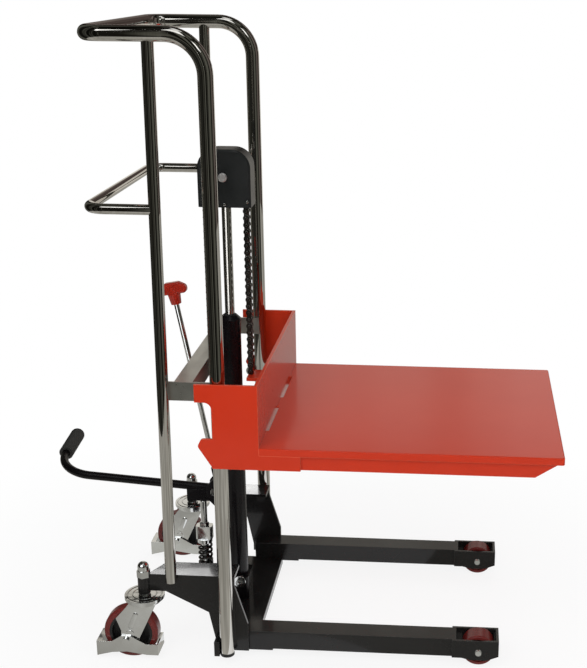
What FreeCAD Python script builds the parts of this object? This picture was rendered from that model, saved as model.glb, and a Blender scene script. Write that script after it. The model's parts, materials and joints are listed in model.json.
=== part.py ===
import FreeCAD, Part
import math
import os
import Sketcher

# Hand platform stacker with a foot pump: a chrome tube mast on black legs, a hydraulic ram whose
# head carries a chain sheave, and a red carriage that the chain lifts two to one.
# Millimetres. X runs forward, Y to the operator's left, Z up from the floor.
# Names ending in "behind" are distances to the rear of the mast tubes, "ahead" to the front.

DIMENSIONS = {
    # Chrome mast tubes, push bar, posts and handle
    "mast_tube_od": 32,
    "mast_tube_wall": 2.5,
    "carriage_play": 2,
    "mast_foot_height": 28,
    "foot_cap_height": 8,
    "foot_cap_plug": 14,
    "mast_bend_radius": 80,
    "loop_height": 1395,
    "loop_reach": 245,
    "loop_corner_radius": 42,
    "post_od": 25,
    "post_wall": 2,
    "post_foot_behind": 123,
    "post_head_behind": 113,
    "post_foot_height": 198,
    "handle_od": 22,
    "handle_wall": 2,
    "handle_height": 1046,
    "handle_reach": 260,
    "handle_corner_radius": 38,
    "brace_height": 42,
    "brace_bottom": 628,
    "brace_thickness": 5,
    "brace_front_behind": 58,
    "brace_flange": 40,
    "brace_tail_overlap": 9,
    "brace_nose_overlap": 2,
    # Welded base: side plates, legs, wheel forks and base plate
    "plate_thickness": 8,
    "plate_top": 208,
    "plate_flange_width": 60,
    "plate_nose_ahead": 18,
    "gusset_shoulder_drop": 23,
    "gusset_shoulder_ahead": 17,
    "gusset_toe_ahead": 46,
    "gusset_toe_height": 88,
    "plate_bottom": 20,
    "plate_heel_behind": 24,
    "plate_waist_behind": 43,
    "plate_waist_height": 116,
    "plate_tail_behind": 140,
    "plate_tail_height": 166,
    "plate_heel_radius": 6,
    "heel_lug_behind": 28,
    "heel_lug_height": 36,
    "heel_lug_width": 28,
    "leg_width": 50,
    "leg_height": 44,
    "leg_bottom": 23,
    "leg_wall": 3,
    "leg_heel_behind": 14,
    "leg_shoe_ahead": 100,
    "leg_shoe_thickness": 4,
    "cheek_thickness": 6,
    "cheek_overlap": 9,
    "fork_nose_ahead": 617,
    "fork_length": 97,
    "fork_nose_thickness": 6,
    "fork_nose_bottom": 29,
    "axle_boss_radius": 19,
    "front_wheel_inset": 46,
    "front_wheel_od": 74,
    "front_wheel_width": 44,
    "front_wheel_round": 4,
    "front_wheel_recess": 3,
    "front_axle_d": 16,
    "axle_end_proud": 2.5,
    "base_plate_thickness": 8,
    "base_plate_bottom": 20,
    "base_plate_ahead": 58,
    "base_plate_behind": 36,
    "base_lip_depth": 9,
    "base_lip_thickness": 5,
    # Swivel casters
    "caster_behind": 190,
    "caster_trail": 33,
    "socket_od": 28,
    "socket_bottom": 160,
    "socket_top": 200,
    "stem_d": 16,
    "stem_thread_d": 12,
    "stem_thread_length": 20,
    "stem_collar_d": 24,
    "race_overhang": 6,
    "race_thickness": 8,
    "race_bottom": 148,
    "kingpin_d": 14,
    "kingpin_head_d": 24,
    "kingpin_head": 5,
    "nut_inset": 0.5,
    "nut_hex_height": 16,
    "nut_dome_height": 20,
    "fork_crown_od": 78,
    "fork_crown_thickness": 6,
    "fork_arm_thickness": 4,
    "fork_arm_gap": 3,
    "fork_arm_top_half": 30,
    "fork_shoulder_behind": 31,
    "fork_shoulder_height": 102,
    "fork_waist_behind": 20,
    "fork_waist_height": 71,
    "fork_toe_ahead": 18,
    "fork_toe_height": 46,
    "fork_foot_height": 34,
    "fork_foot_behind": 13,
    "fork_foot_ahead": 15,
    "fork_foot_round": 9,
    "caster_wheel_od": 125,
    "caster_tyre_depth": 13,
    "caster_tyre_width": 32,
    "caster_tyre_round": 6,
    "caster_core_web": 8,
    "caster_hub_od": 36,
    "caster_hub_overhang": 2.5,
    "caster_rim_thickness": 6,
    "caster_axle_d": 12,
    "caster_axle_head": 1,
    "caster_axle_head_d": 20,
    "brake_thickness": 3,
    "brake_gap": 1.5,
    "brake_pivot_behind": 9,
    "brake_pivot_height": 48,
    "brake_pin_d": 8,
    "brake_bolt_head_d": 16,
    "brake_bolt_head": 5,
    "brake_tail_behind": 78,
    "brake_tail_bottom": 8,
    "brake_tail_top": 45,
    "brake_tail_root_behind": 43,
    "brake_tail_root_bottom": 17,
    "brake_tread": 12,
    "brake_waist_half": 11,
    "brake_waist_bottom": 20,
    "brake_waist_top": 60,
    "brake_nose_ahead": 64,
    "brake_nose_root_ahead": 37,
    "brake_nose_bottom": 13,
    "brake_nose_top": 40,
    # Lift cylinder and ram
    "ram_behind": 21.5,
    "cylinder_od": 48,
    "cylinder_bore": 41,
    "cylinder_floor": 7,
    "cylinder_top": 735,
    "gland_od": 50,
    "gland_height": 15,
    "gland_spigot": 15,
    "gland_bevel": 8,
    "rod_d": 22,
    "rod_spigot_d": 15,
    "rod_spigot_length": 10,
    "piston_height": 30,
    "piston_rest_height": 330,
    # Lift head, sheave and chain
    "sheave_height": 1074.5,
    "chain_pitch": 15.875,
    "chain_plate_height": 14.6,
    "chain_plate_thickness": 1.7,
    "chain_inner_width": 9.6,
    "chain_roller_d": 10.2,
    "chain_pin_d": 5,
    "chain_pin_proud": 1,
    "chain_play": 0.1,
    "sheave_flange_thickness": 2.7,
    "sheave_side_play": 0.5,
    "sheave_axle_d": 16,
    "sheave_flange_rise": 8,
    "head_cheek_thickness": 5,
    "head_cheek_half": 20,
    "head_cheek_rise": 20,
    "head_block_height": 14,
    "head_block_half": 24,
    "head_half_width": 30,
    "head_rise": 61.5,
    "head_drop": 67.5,
    "head_ahead": 61.5,
    "head_behind": 57.5,
    "head_wall": 3,
    "head_top_radius": 42,
    "head_bevel": 4,
    "sheave_bolt_head_d": 20,
    "sheave_bolt_head": 6,
    # Carriage and platform
    "carriage_half_width": 288,
    "carriage_plate_thickness": 6,
    "carriage_top": 680,
    "carriage_bottom": 489,
    "carriage_front_ahead": 89,
    "ear_behind": 46,
    "ear_bottom": 640,
    "notch_behind": 10,
    "notch_radius": 16,
    "low_ear_top": 557,
    "low_ear_shoulder_behind": 35,
    "low_ear_behind": 43,
    "low_ear_tip_height": 540,
    "low_ear_radius": 8,
    "low_ear_root_behind": 11,
    "carriage_foot_ahead": 178,
    "front_plate_thickness": 7,
    "platform_length": 650,
    "platform_top": 538,
    "tray_thickness": 4,
    "tray_lip": 16,
    "tray_corner_radius": 6,
    "tray_fold_radius": 2.5,
    "tray_slot_near": 31,
    "tray_slot_far": 182,
    "tray_slot_width": 5,
    "rail_width": 28,
    "rail_depth": 32,
    "rail_wall": 4,
    "rail_nose_inset": 13,
    "rail_taper": 48,
    "rail_nose_below_lip": 1,
    "roller_offset": 24,
    "roller_flange_radius": 12,
    "roller_width": 28,
    "roller_axle_d": 10,
    "roller_running_gap": 0.3,
    "upper_roller_height": 652,
    "rear_roller_height": 526,
    "lower_roller_height": 512,
    "anchor_lug_radius": 6.4,
    "anchor_arm_thickness": 8,
    "anchor_arm_half": 30,
    "anchor_gusset": 40,
    # Foot pump
    "block_behind": 128,
    "block_ahead": 8,
    "block_half_width": 34,
    "block_height": 60,
    "block_corner_radius": 10,
    "plunger_behind": 103,
    "barrel_od": 36,
    "barrel_height": 24,
    "plunger_d": 18,
    "plunger_bore_depth": 70,
    "plunger_engagement": 40,
    "spring_height": 54,
    "spring_od": 36,
    "spring_wire": 6,
    "plunger_cap_od": 36,
    "plunger_cap_height": 10,
    "clevis_length": 40,
    "clevis_width": 24,
    "clevis_height": 34,
    "clevis_round": 6,
    "push_rod_d": 16,
    "bracket_wall": 6,
    "bracket_half_width": 22,
    "bracket_front_behind": 47,
    "bracket_foot_behind": 68,
    "bracket_rear_behind": 89,
    "bracket_throat_drop": 22,
    "bracket_jaw_height": 292,
    "bracket_shoulder_rise": 32,
    "bracket_top_rise": 58,
    "bracket_top_behind": 66,
    "bracket_corner_radius": 8,
    "pivot_behind": 72,
    "pivot_above_jaw": 18,
    "pivot_pin_d": 12,
    "pivot_pin_proud": 5,
    "pedal_tube_od": 20,
    "pedal_tube_wall": 3,
    "pedal_reach": 467.5,
    "pedal_rise": 29,
    "pedal_bend_radius": 88,
    "pedal_tip_length": 96,
    "pedal_hub_od": 28,
    "pedal_hub_width": 28,
    "pedal_block_behind": 140,
    "pedal_block_front_behind": 84,
    "pedal_block_drop": 30,
    "pedal_block_width": 22,
    "grip_od": 35,
    "grip_end_wall": 8,
    "grip_round": 13,
    # Release valve, rod and knob
    "release_side": 25,
    "release_foot_behind": 74,
    "release_foot_rise": 28,
    "release_head_behind": 155,
    "release_head_height": 780,
    "release_rod_d": 12,
    "valve_od": 20,
    "valve_length": 34,
    "valve_seat_depth": 16,
    "knob_bar_length": 66,
    "knob_bar_width": 22,
    "knob_bar_height": 28,
    "knob_crown_half": 16,
    "knob_shoulder_drop": 11,
    "knob_corner_round": 9,
    "knob_edge_round": 6,
    "knob_hub_d": 24,
    "knob_hub_top_d": 30,
    "knob_hub_length": 38,
    "knob_socket_depth": 14,
    # Clearances
    "shaft_play": 0.1,
    "pin_play": 0.2,
    "running_gap": 0.3,
    "slide_gap": 0.05,
    "overrun": 4,
}

# Angles and counts that stay as they are when the lengths change
PEDAL_TILT = 8
SPRING_TURNS = 3.5
CHAIN_WRAP_LINKS = 9
CHAIN_FRONT_LINKS = 29
CHAIN_REAR_LINKS = 25

# Shares of the sizes that they follow
POST_SADDLE_SHARE = 0.5
PLATE_CHAMFER_SHARE = 0.45
BOSS_ROUND_SHARE = 0.9
WHEEL_HUB_SHARE = 0.42
WHEEL_RING_SHARE = 0.78
NUT_DOME_SHARE = 0.94
DOME_ROUND_SHARE = 0.92
HEAD_CORNER_SHARE = 0.3
LINK_WAIST_SHARE = 0.74
AXLE_COLLAR_SHARE = 0.8
ROD_DOME_SHARE = 0.6

# Places worked out from the dimensions
PLACES = {
    "platform_front": "dims.carriage_front_ahead + dims.platform_length",
    "pedal_run": "dims.pedal_reach - dims.pivot_behind",
    "pedal_slope": "dims.pedal_rise / pedal_run",
    "pedal_angle": "atan(pedal_slope) / 1 deg",
    "pedal_tip": "dims.pedal_bend_radius + dims.pedal_tip_length",
    "grip_length": "dims.pedal_tip_length + dims.grip_end_wall",
    "grip_start": "dims.pedal_bend_radius",
    "pedal_rear": "dims.pedal_reach + dims.grip_od / 2"
                  " - grip_start * sin(%s deg) * sin(pedal_angle * 1 deg)" % PEDAL_TILT,
    "mast_x": "(pedal_rear - platform_front) / 2",
    "zero": "0 * mast_x",
    "mast_r": "dims.mast_tube_od / 2",
    "carriage_inner_y": "dims.carriage_half_width - dims.carriage_plate_thickness",
    "mast_half_gauge": "carriage_inner_y - dims.carriage_play - mast_r",
    "mast_bore_r": "mast_r - dims.mast_tube_wall",
    "mast_rise": "dims.loop_height - dims.mast_bend_radius - dims.mast_foot_height",
    "mast_bend_top": "mast_rise + dims.mast_bend_radius",
    "mast_bend_back": "-dims.mast_bend_radius",
    "gauge_left": "mast_half_gauge",
    "gauge_right": "-mast_half_gauge",
    "loop_corner_right": "dims.loop_corner_radius - mast_half_gauge",
    "loop_run_end": "dims.loop_corner_radius - dims.loop_reach + dims.mast_bend_radius",
    "loop_back": "dims.mast_bend_radius - dims.loop_reach",
    "loop_corner_y": "mast_half_gauge - dims.loop_corner_radius",
    "weld_y": "mast_half_gauge - mast_r",
    "post_r": "dims.post_od / 2",
    "post_y": "weld_y + post_r",
    "post_lean": "(dims.post_foot_behind - dims.post_head_behind)"
                 " / (dims.loop_height - dims.post_foot_height)",
    "post_angle": "atan(post_lean) / 1 deg",
    "post_length": "(dims.loop_height - mast_r * %s - dims.post_foot_height)"
                   " * sqrt(1 + post_lean ^ 2)" % POST_SADDLE_SHARE,
    "post_at_handle": "dims.post_foot_behind"
                      " - post_lean * (dims.handle_height - dims.post_foot_height)",
    "post_at_brace": "dims.post_foot_behind"
                     " - post_lean * (dims.brace_bottom - dims.post_foot_height)",
    "post_right": "-post_y",
    "handle_corner_right": "dims.handle_corner_radius - post_y",
    "handle_r": "dims.handle_od / 2",
    "handle_bore_r": "handle_r - dims.handle_wall",
    "handle_run_end": "dims.handle_corner_radius - dims.handle_reach + post_at_handle",
    "handle_back": "post_at_handle - dims.handle_reach",
    "handle_corner_y": "post_y - dims.handle_corner_radius",
    "brace_top": "dims.brace_bottom + dims.brace_height",
    "brace_inner_y": "weld_y - dims.brace_thickness",
    "plate_inner_y": "weld_y - dims.plate_thickness",
    "leg_inner_y": "plate_inner_y - dims.leg_width",
    "leg_mid_y": "plate_inner_y - dims.leg_width / 2",
    "leg_top": "dims.leg_bottom + dims.leg_height",
    "leg_end": "dims.fork_nose_ahead - dims.fork_length",
    "front_wheel_ahead": "dims.fork_nose_ahead - dims.front_wheel_inset",
    "fork_half": "dims.leg_width / 2 + dims.cheek_thickness",
    "wheel_height": "dims.front_wheel_od / 2",
    "base_top": "dims.base_plate_bottom + dims.base_plate_thickness",
    "caster_x": "mast_x - dims.caster_behind",
    "caster_y": "weld_y - dims.plate_thickness / 2",
    "socket_r": "dims.socket_od / 2",
    "plate_rear": "dims.caster_behind - socket_r",
    "race_r": "dims.fork_crown_od / 2 + dims.race_overhang",
    "nut_flats": "dims.socket_od - 2 * dims.nut_inset",
    "race_top": "dims.race_bottom + dims.race_thickness",
    "crown_top": "dims.race_bottom - dims.running_gap",
    "crown_bottom": "crown_top - dims.fork_crown_thickness",
    "caster_wheel_z": "dims.caster_wheel_od / 2",
    "arm_inner": "dims.caster_tyre_width / 2 + dims.fork_arm_gap",
    "arm_outer": "arm_inner + dims.fork_arm_thickness",
    "brake_inner": "arm_outer + dims.brake_gap",
    "brake_outer": "brake_inner + dims.brake_thickness",
    "ram_x": "mast_x - dims.ram_behind",
    "block_top": "base_top + dims.block_height",
    "gland_top": "dims.cylinder_top + dims.gland_height",
    "pitch_radius": "dims.chain_pitch / (2 * sin(180 deg / (2 * %d)))" % CHAIN_WRAP_LINKS,
    "outer_plate_y": "dims.chain_inner_width / 2 + dims.chain_plate_thickness + dims.chain_play",
    "chain_half_width": "outer_plate_y + dims.chain_plate_thickness + dims.chain_pin_proud",
    "sheave_half": "chain_half_width + dims.sheave_side_play + dims.sheave_flange_thickness",
    "sheave_rim": "pitch_radius * cos(180 deg / (2 * %d)) - dims.chain_plate_height / 2"
                  " - dims.running_gap" % CHAIN_WRAP_LINKS,
    "sheave_flange_r": "sheave_rim + dims.sheave_flange_rise",
    "cheek_inner_y": "sheave_half + dims.sheave_side_play",
    "cheek_outer_y": "cheek_inner_y + dims.head_cheek_thickness",
    "head_block_top": "dims.sheave_height - sheave_flange_r - dims.sheave_side_play * 2",
    "head_block_bottom": "head_block_top - dims.head_block_height",
    "front_chain_x": "ram_x + pitch_radius",
    "rear_chain_x": "ram_x - pitch_radius",
    "front_chain_end": "dims.sheave_height - dims.chain_pitch * %d" % CHAIN_FRONT_LINKS,
    "rear_chain_end": "dims.sheave_height - dims.chain_pitch * %d" % CHAIN_REAR_LINKS,
    "lip_bottom": "dims.platform_top - dims.tray_lip",
    "tray_under": "dims.platform_top - dims.tray_thickness",
    "rail_bottom": "lip_bottom - dims.rail_depth",
    "rail_front": "platform_front - dims.rail_nose_inset",
    "groove_radius": "mast_r + dims.roller_running_gap",
    "lug_half": "dims.chain_inner_width / 2 - dims.chain_play",
    "arm_top": "front_chain_end - dims.chain_plate_height / 2 - dims.running_gap",
    "barrel_top": "block_top + dims.barrel_height",
    "cap_bottom": "barrel_top + dims.spring_height",
    "cap_top": "cap_bottom + dims.plunger_cap_height",
    "clevis_top": "cap_top + dims.clevis_height",
    "bracket_throat": "dims.bracket_jaw_height - dims.bracket_throat_drop",
    "bracket_shoulder": "dims.bracket_jaw_height + dims.bracket_shoulder_rise",
    "bracket_top": "dims.bracket_jaw_height + dims.bracket_top_rise",
    "pivot_height": "dims.bracket_jaw_height + dims.pivot_above_jaw",
    "pedal_block_bottom": "pivot_height - dims.pedal_block_drop",
    "push_rod_top": "pedal_block_bottom - dims.running_gap",
    "pivot_x": "mast_x - dims.pivot_behind",
    "pedal_length": "pedal_run * sqrt(1 + pedal_slope ^ 2)",
    "pedal_straight": "dims.pedal_bend_radius - pedal_length",
    "pedal_end": "-pedal_length",
    "pedal_bend_side": "dims.pedal_bend_radius",
    "release_foot": "pivot_height + dims.release_foot_rise",
    "release_lean": "(dims.release_head_behind - dims.release_foot_behind)"
                    " / (dims.release_head_height - release_foot)",
    "release_angle": "-atan(release_lean) / 1 deg",
    "release_length": "(dims.release_head_height - release_foot)"
                      " * sqrt(1 + release_lean ^ 2)",
}

SIDES = (("left", 1), ("right", -1))
X_AXIS = FreeCAD.Vector(1, 0, 0)
Y_AXIS = FreeCAD.Vector(0, 1, 0)
Z_AXIS = FreeCAD.Vector(0, 0, 1)

document = FreeCAD.newDocument("stacker")
nodes = {}


# Driving dimensions and derived places

def make_sheet():
    sheet = document.addObject("Spreadsheet::Sheet", "dims")
    for row, (name, value) in enumerate(DIMENSIONS.items(), start=1):
        sheet.set("A%d" % row, name)
        sheet.set("B%d" % row, str(value))
        sheet.setAlias("B%d" % row, name)
    document.recompute()
    return sheet


def make_places():
    places = document.addObject("App::VarSet", "places")
    for name, formula in PLACES.items():
        places.addProperty("App::PropertyFloat", name, "Places")
        places.setExpression(name, formula)
    document.recompute()
    return places


dims = make_sheet()
places = make_places()


def size(name):
    """The present value of a dimension or a place."""
    if name in DIMENSIONS:
        return float(dims.get(name))
    return float(getattr(places, name))


# Helpers for document objects whose sizes are bound to the sheet

def keep(item, label):
    item.Label = label
    nodes[label] = item
    return item


def same(one, other):
    """Whether two lengths agree to within the modeller's tolerance."""
    return abs(one - other) < Part.Precision.approximation()


def bind(item, **formulas):
    for name, formula in formulas.items():
        item.setExpression(name, formula)


def place(item, x="0", y="0", z="0", axis=None, angle=None):
    """Bind an object's position, and its turn about one axis in degrees."""
    if axis is not None:
        item.Placement = FreeCAD.Placement(FreeCAD.Vector(), FreeCAD.Rotation(axis, 0))
        item.setExpression("Placement.Rotation.Angle", "%s * 1 deg" % angle)
    for letter, formula in zip("xyz", (x, y, z)):
        item.setExpression("Placement.Base.%s" % letter, formula)
    return item


def new_body(name):
    return document.addObject("PartDesign::Body", name)


def origin_plane(body, role):
    return next(item for item in body.Origin.OriginFeatures if item.Role == role)


def new_sketch(body, role, offset=None):
    sketch = body.newObject("Sketcher::SketchObject", "outline")
    sketch.AttachmentSupport = (origin_plane(body, role), [""])
    sketch.MapMode = "FlatFace"
    if offset is not None:
        sketch.setExpression("AttachmentOffset.Base.z", offset)
    return sketch


def bound_constraint(sketch, formula, *arguments):
    index = sketch.addConstraint(Sketcher.Constraint(*arguments))
    sketch.setExpression("Constraints[%d]" % index, formula)


def add_polygon(sketch, corners):
    """A closed outline whose corners are pairs of formulas."""
    count = len(corners)
    first = sketch.GeometryCount
    turn = [2 * math.pi * step / count for step in range(count + 1)]
    rough = [FreeCAD.Vector(math.cos(angle), math.sin(angle), 0) for angle in turn]
    for step in range(count):
        sketch.addGeometry(Part.LineSegment(rough[step], rough[step + 1]))
    for step in range(count):
        following = first + (step + 1) % count
        sketch.addConstraint(Sketcher.Constraint("Coincident", first + step, 2, following, 1))
    for step, (across, up) in enumerate(corners):
        start = rough[step]
        bound_constraint(sketch, across, "DistanceX", first + step, 1, start.x)
        bound_constraint(sketch, up, "DistanceY", first + step, 1, start.y)
    return sketch


def add_rectangle(sketch, low, high):
    corners = [(low[0], low[1]), (high[0], low[1]), (high[0], high[1]), (low[0], high[1])]
    return add_polygon(sketch, corners)


def add_circle(sketch, across, up, radius):
    circle = sketch.addGeometry(Part.Circle(FreeCAD.Vector(1, 1, 0), Z_AXIS, 1))
    bound_constraint(sketch, across, "DistanceX", circle, 3, 1)
    bound_constraint(sketch, up, "DistanceY", circle, 3, 1)
    bound_constraint(sketch, radius, "Radius", circle, 1)
    return sketch


def pad(body, sketch, length, symmetric=False):
    feature = body.newObject("PartDesign::Pad", "pad")
    feature.Profile = sketch
    feature.setExpression("Length", length)
    if symmetric:
        feature.SideType = "Symmetric"
    document.recompute()
    return feature


def pocket(body, sketch, length, symmetric=False, backwards=False):
    """Cut an outline out of the body and make sure that it took material away."""
    before = body.Shape.Volume
    feature = body.newObject("PartDesign::Pocket", "pocket")
    feature.Profile = sketch
    feature.setExpression("Length", length)
    feature.Reversed = backwards
    if symmetric:
        feature.SideType = "Symmetric"
    document.recompute()
    if not feature.Shape.Volume < before:
        raise ValueError("%s: a pocket cuts nothing" % body.Name)
    return feature


def round_corners(body, feature, sketch, corners, radius):
    """Fillet the edges that stand on the numbered corners of a padded outline."""
    line = sketch.Placement.Rotation.multVec(Z_AXIS)
    feet = [sketch.Placement.multVec(sketch.Geometry[corner].StartPoint) for corner in corners]
    chosen = []
    for number, edge in enumerate(feature.Shape.Edges, start=1):
        for foot in feet:
            ends = [vertex.Point for vertex in edge.Vertexes]
            if all(same((end - foot).cross(line).Length, 0) for end in ends):
                chosen.append("Edge%d" % number)
    fillet = body.newObject("PartDesign::Fillet", "rounding")
    fillet.Base = (feature, chosen)
    fillet.setExpression("Radius", radius)
    document.recompute()
    return fillet


def plate(name, role, corners, length, offset=None, symmetric=False, rounded=()):
    """A body padded from one outline, with (corners, radius) pairs rounded."""
    body = new_body(name)
    sketch = add_polygon(new_sketch(body, role, offset), corners)
    document.recompute()
    feature = pad(body, sketch, length, symmetric)
    for numbers, radius in rounded:
        feature = round_corners(body, feature, sketch, numbers, radius)
    return body


def turned(name, profile):
    """A body of revolution about its own Z axis, from (radius, height) formulas."""
    body = new_body(name)
    sketch = add_polygon(new_sketch(body, "XZ_Plane"), profile)
    document.recompute()
    feature = body.newObject("PartDesign::Revolution", "turning")
    feature.Profile = sketch
    feature.ReferenceAxis = (sketch, ["V_Axis"])
    feature.Angle = 360
    document.recompute()
    return body


def cylinder(name, radius, height):
    item = document.addObject("Part::Cylinder", name)
    bind(item, Radius=radius, Height=height)
    return item


def block(name, length, width, height):
    item = document.addObject("Part::Box", name)
    bind(item, Length=length, Width=width, Height=height)
    return item


def cut(name, base, tool):
    item = document.addObject("Part::Cut", name)
    item.Base = base
    item.Tool = tool
    return item


def fuse(name, members):
    item = document.addObject("Part::MultiFuse", name)
    item.Shapes = members
    return item


def group(name, members):
    """Separate solids that share one node."""
    item = document.addObject("Part::Compound", name)
    item.Links = members
    return item


def bent_tube(name, role, path, bend, section_role, section_centre, outer, bore):
    """A tube along straight runs and arcs of one bend radius.

    The path is a start point and (end point, arc centre or None) steps; points are place names.
    """
    body = new_body(name)
    spine = new_sketch(body, role)
    points = [path[0]] + [end for end, centre in path[1:]]
    spots = [FreeCAD.Vector(size(across), size(up), 0) for across, up in points]
    ends = []
    for step, (end, centre) in enumerate(path[1:]):
        here, there = spots[step], spots[step + 1]
        if centre is None:
            spine.addGeometry(Part.LineSegment(here, there))
            ends.append((1, 2))
            continue
        middle = FreeCAD.Vector(size(centre[0]), size(centre[1]), 0)
        angles = [math.atan2(spot.y - middle.y, spot.x - middle.x) for spot in (here, there)]
        turn = math.remainder(angles[1] - angles[0], 2 * math.pi)
        first = angles[0] if turn > 0 else angles[1]
        circle = Part.Circle(middle, Z_AXIS, (there - middle).Length)
        spine.addGeometry(Part.ArcOfCircle(circle, first, first + abs(turn)))
        ends.append((1, 2) if turn > 0 else (2, 1))
    for step, (near, far) in enumerate(ends):
        if step == 0:
            bound_constraint(spine, "places." + points[0][0], "DistanceX", 0, near, spots[0].x)
            bound_constraint(spine, "places." + points[0][1], "DistanceY", 0, near, spots[0].y)
        else:
            joint = Sketcher.Constraint("Coincident", step - 1, ends[step - 1][1], step, near)
            spine.addConstraint(joint)
        across, up = points[step + 1]
        bound_constraint(spine, "places." + across, "DistanceX", step, far, spots[step + 1].x)
        bound_constraint(spine, "places." + up, "DistanceY", step, far, spots[step + 1].y)
        if path[step + 1][1] is not None:
            bound_constraint(spine, bend, "Radius", step, spine.Geometry[step].Radius)
    section = new_sketch(body, section_role)
    add_circle(section, section_centre[0], section_centre[1], outer)
    add_circle(section, section_centre[0], section_centre[1], bore)
    document.recompute()
    pipe = body.newObject("PartDesign::AdditivePipe", "tube")
    pipe.Profile = section
    pipe.Spine = (spine, ["Edge%d" % (step + 1) for step in range(len(ends))])
    document.recompute()
    return body


def ahead(formula):
    """An X place in front of the mast tubes."""
    return "places.mast_x + (%s)" % formula


def behind(formula):
    """An X place to the rear of the mast tubes."""
    return "places.mast_x - (%s)" % formula


def layer(sign, inner, outer):
    """Sketch offset on the XZ plane, and pad length, of a layer between two |Y| places."""
    offset = "-(%s)" % outer if sign > 0 else inner
    return offset, "(%s) - (%s)" % (outer, inner)


def pad_layer(body, corners, sign, inner, outer, rounded=()):
    """Pad a side outline through a layer of the body."""
    offset, length = layer(sign, inner, outer)
    sketch = add_polygon(new_sketch(body, "XZ_Plane", offset), corners)
    document.recompute()
    feature = pad(body, sketch, length)
    for numbers, radius in rounded:
        feature = round_corners(body, feature, sketch, numbers, radius)
    return feature


def cross_pin(body, across, up, radius, length):
    """A round pin along Y, centred on the body's XZ plane."""
    sketch = add_circle(new_sketch(body, "XZ_Plane"), across, up, radius)
    document.recompute()
    return pad(body, sketch, length, symmetric=True)


def cross_hole(body, across, up, radius, length):
    """A round hole along Y, centred on the body's XZ plane."""
    sketch = add_circle(new_sketch(body, "XZ_Plane"), across, up, radius)
    document.recompute()
    return pocket(body, sketch, length, symmetric=True)


def round_rims(body, feature, rims, radius):
    """Fillet the round edges of a turned body at (radius, height) place pairs of numbers."""
    chosen = []
    for number, edge in enumerate(feature.Shape.Edges, start=1):
        if not isinstance(edge.Curve, Part.Circle):
            continue
        for rim, height in rims:
            if same(edge.Curve.Radius, rim) and same(edge.Curve.Center.z, height):
                chosen.append("Edge%d" % number)
    fillet = body.newObject("PartDesign::Fillet", "rounding")
    fillet.Base = (feature, chosen)
    fillet.setExpression("Radius", radius)
    document.recompute()
    return fillet


# Chrome tubes

def make_mast():
    path = [("zero", "zero"),
            (("zero", "mast_rise"), None),
            (("mast_bend_back", "mast_bend_top"), ("mast_bend_back", "mast_rise"))]
    for side, sign in SIDES:
        tube = bent_tube(side + "_mast", "XZ_Plane", path, "dims.mast_bend_radius", "XY_Plane",
                         ("0", "0"), "places.mast_r", "places.mast_bore_r")
        place(tube, "places.mast_x", "%d * places.mast_half_gauge" % sign, "dims.mast_foot_height")
        keep(tube, side + "_mast_tube")
    caps = []
    for side, sign in SIDES:
        plug = "places.mast_bore_r - dims.shaft_play"
        cap = turned(side + "_cap", [("0", "-dims.foot_cap_height"),
                                     ("places.mast_r", "-dims.foot_cap_height"),
                                     ("places.mast_r", "0"),
                                     (plug, "0"),
                                     (plug, "dims.foot_cap_plug"),
                                     ("0", "dims.foot_cap_plug")])
        place(cap, "places.mast_x", "%d * places.mast_half_gauge" % sign, "dims.mast_foot_height")
        caps.append(cap)
    keep(group("foot_caps", caps), "mast_foot_caps")


def make_push_bar():
    path = [("zero", "gauge_left"),
            (("loop_run_end", "gauge_left"), None),
            (("loop_back", "loop_corner_y"), ("loop_run_end", "loop_corner_y")),
            (("loop_back", "loop_corner_right"), None),
            (("loop_run_end", "gauge_right"), ("loop_run_end", "loop_corner_right")),
            (("zero", "gauge_right"), None)]
    bar = bent_tube("push_bar", "XY_Plane", path, "dims.loop_corner_radius", "YZ_Plane",
                    ("places.gauge_left", "0"), "places.mast_r", "places.mast_bore_r")
    place(bar, behind("dims.mast_bend_radius"), "0", "dims.loop_height")
    keep(bar, "top_push_bar")


def post_cylinder(name, sign, radius):
    item = cylinder(name, radius, "places.post_length")
    return place(item, behind("dims.post_foot_behind"), "%d * places.post_y" % sign,
                 "dims.post_foot_height", Y_AXIS, "places.post_angle")


def make_posts():
    for side, sign in SIDES:
        wall = cut(side + "_post_wall",
                   post_cylinder(side + "_post_outside", sign, "places.post_r"),
                   post_cylinder(side + "_post_bore", sign, "places.post_r - dims.post_wall"))
        saddle = cylinder(side + "_saddle", "places.mast_r", "dims.loop_reach")
        place(saddle, "places.mast_x", "%d * places.mast_half_gauge" % sign, "dims.loop_height",
              Y_AXIS, "-90")
        keep(cut(side + "_post", wall, saddle), side + "_rear_post")


def make_handle():
    path = [("zero", "post_y"),
            (("handle_run_end", "post_y"), None),
            (("handle_back", "handle_corner_y"), ("handle_run_end", "handle_corner_y")),
            (("handle_back", "handle_corner_right"), None),
            (("handle_run_end", "post_right"), ("handle_run_end", "handle_corner_right")),
            (("zero", "post_right"), None)]
    tube = bent_tube("handle_tube", "XY_Plane", path, "dims.handle_corner_radius", "YZ_Plane",
                     ("places.post_y", "0"), "places.handle_r", "places.handle_bore_r")
    place(tube, behind("places.post_at_handle"), "0", "dims.handle_height")
    saddles = [post_cylinder(side + "_handle_saddle", sign, "places.post_r")
               for side, sign in SIDES]
    keep(cut("handle", tube, fuse("handle_saddles", saddles)), "push_handle")


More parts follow.
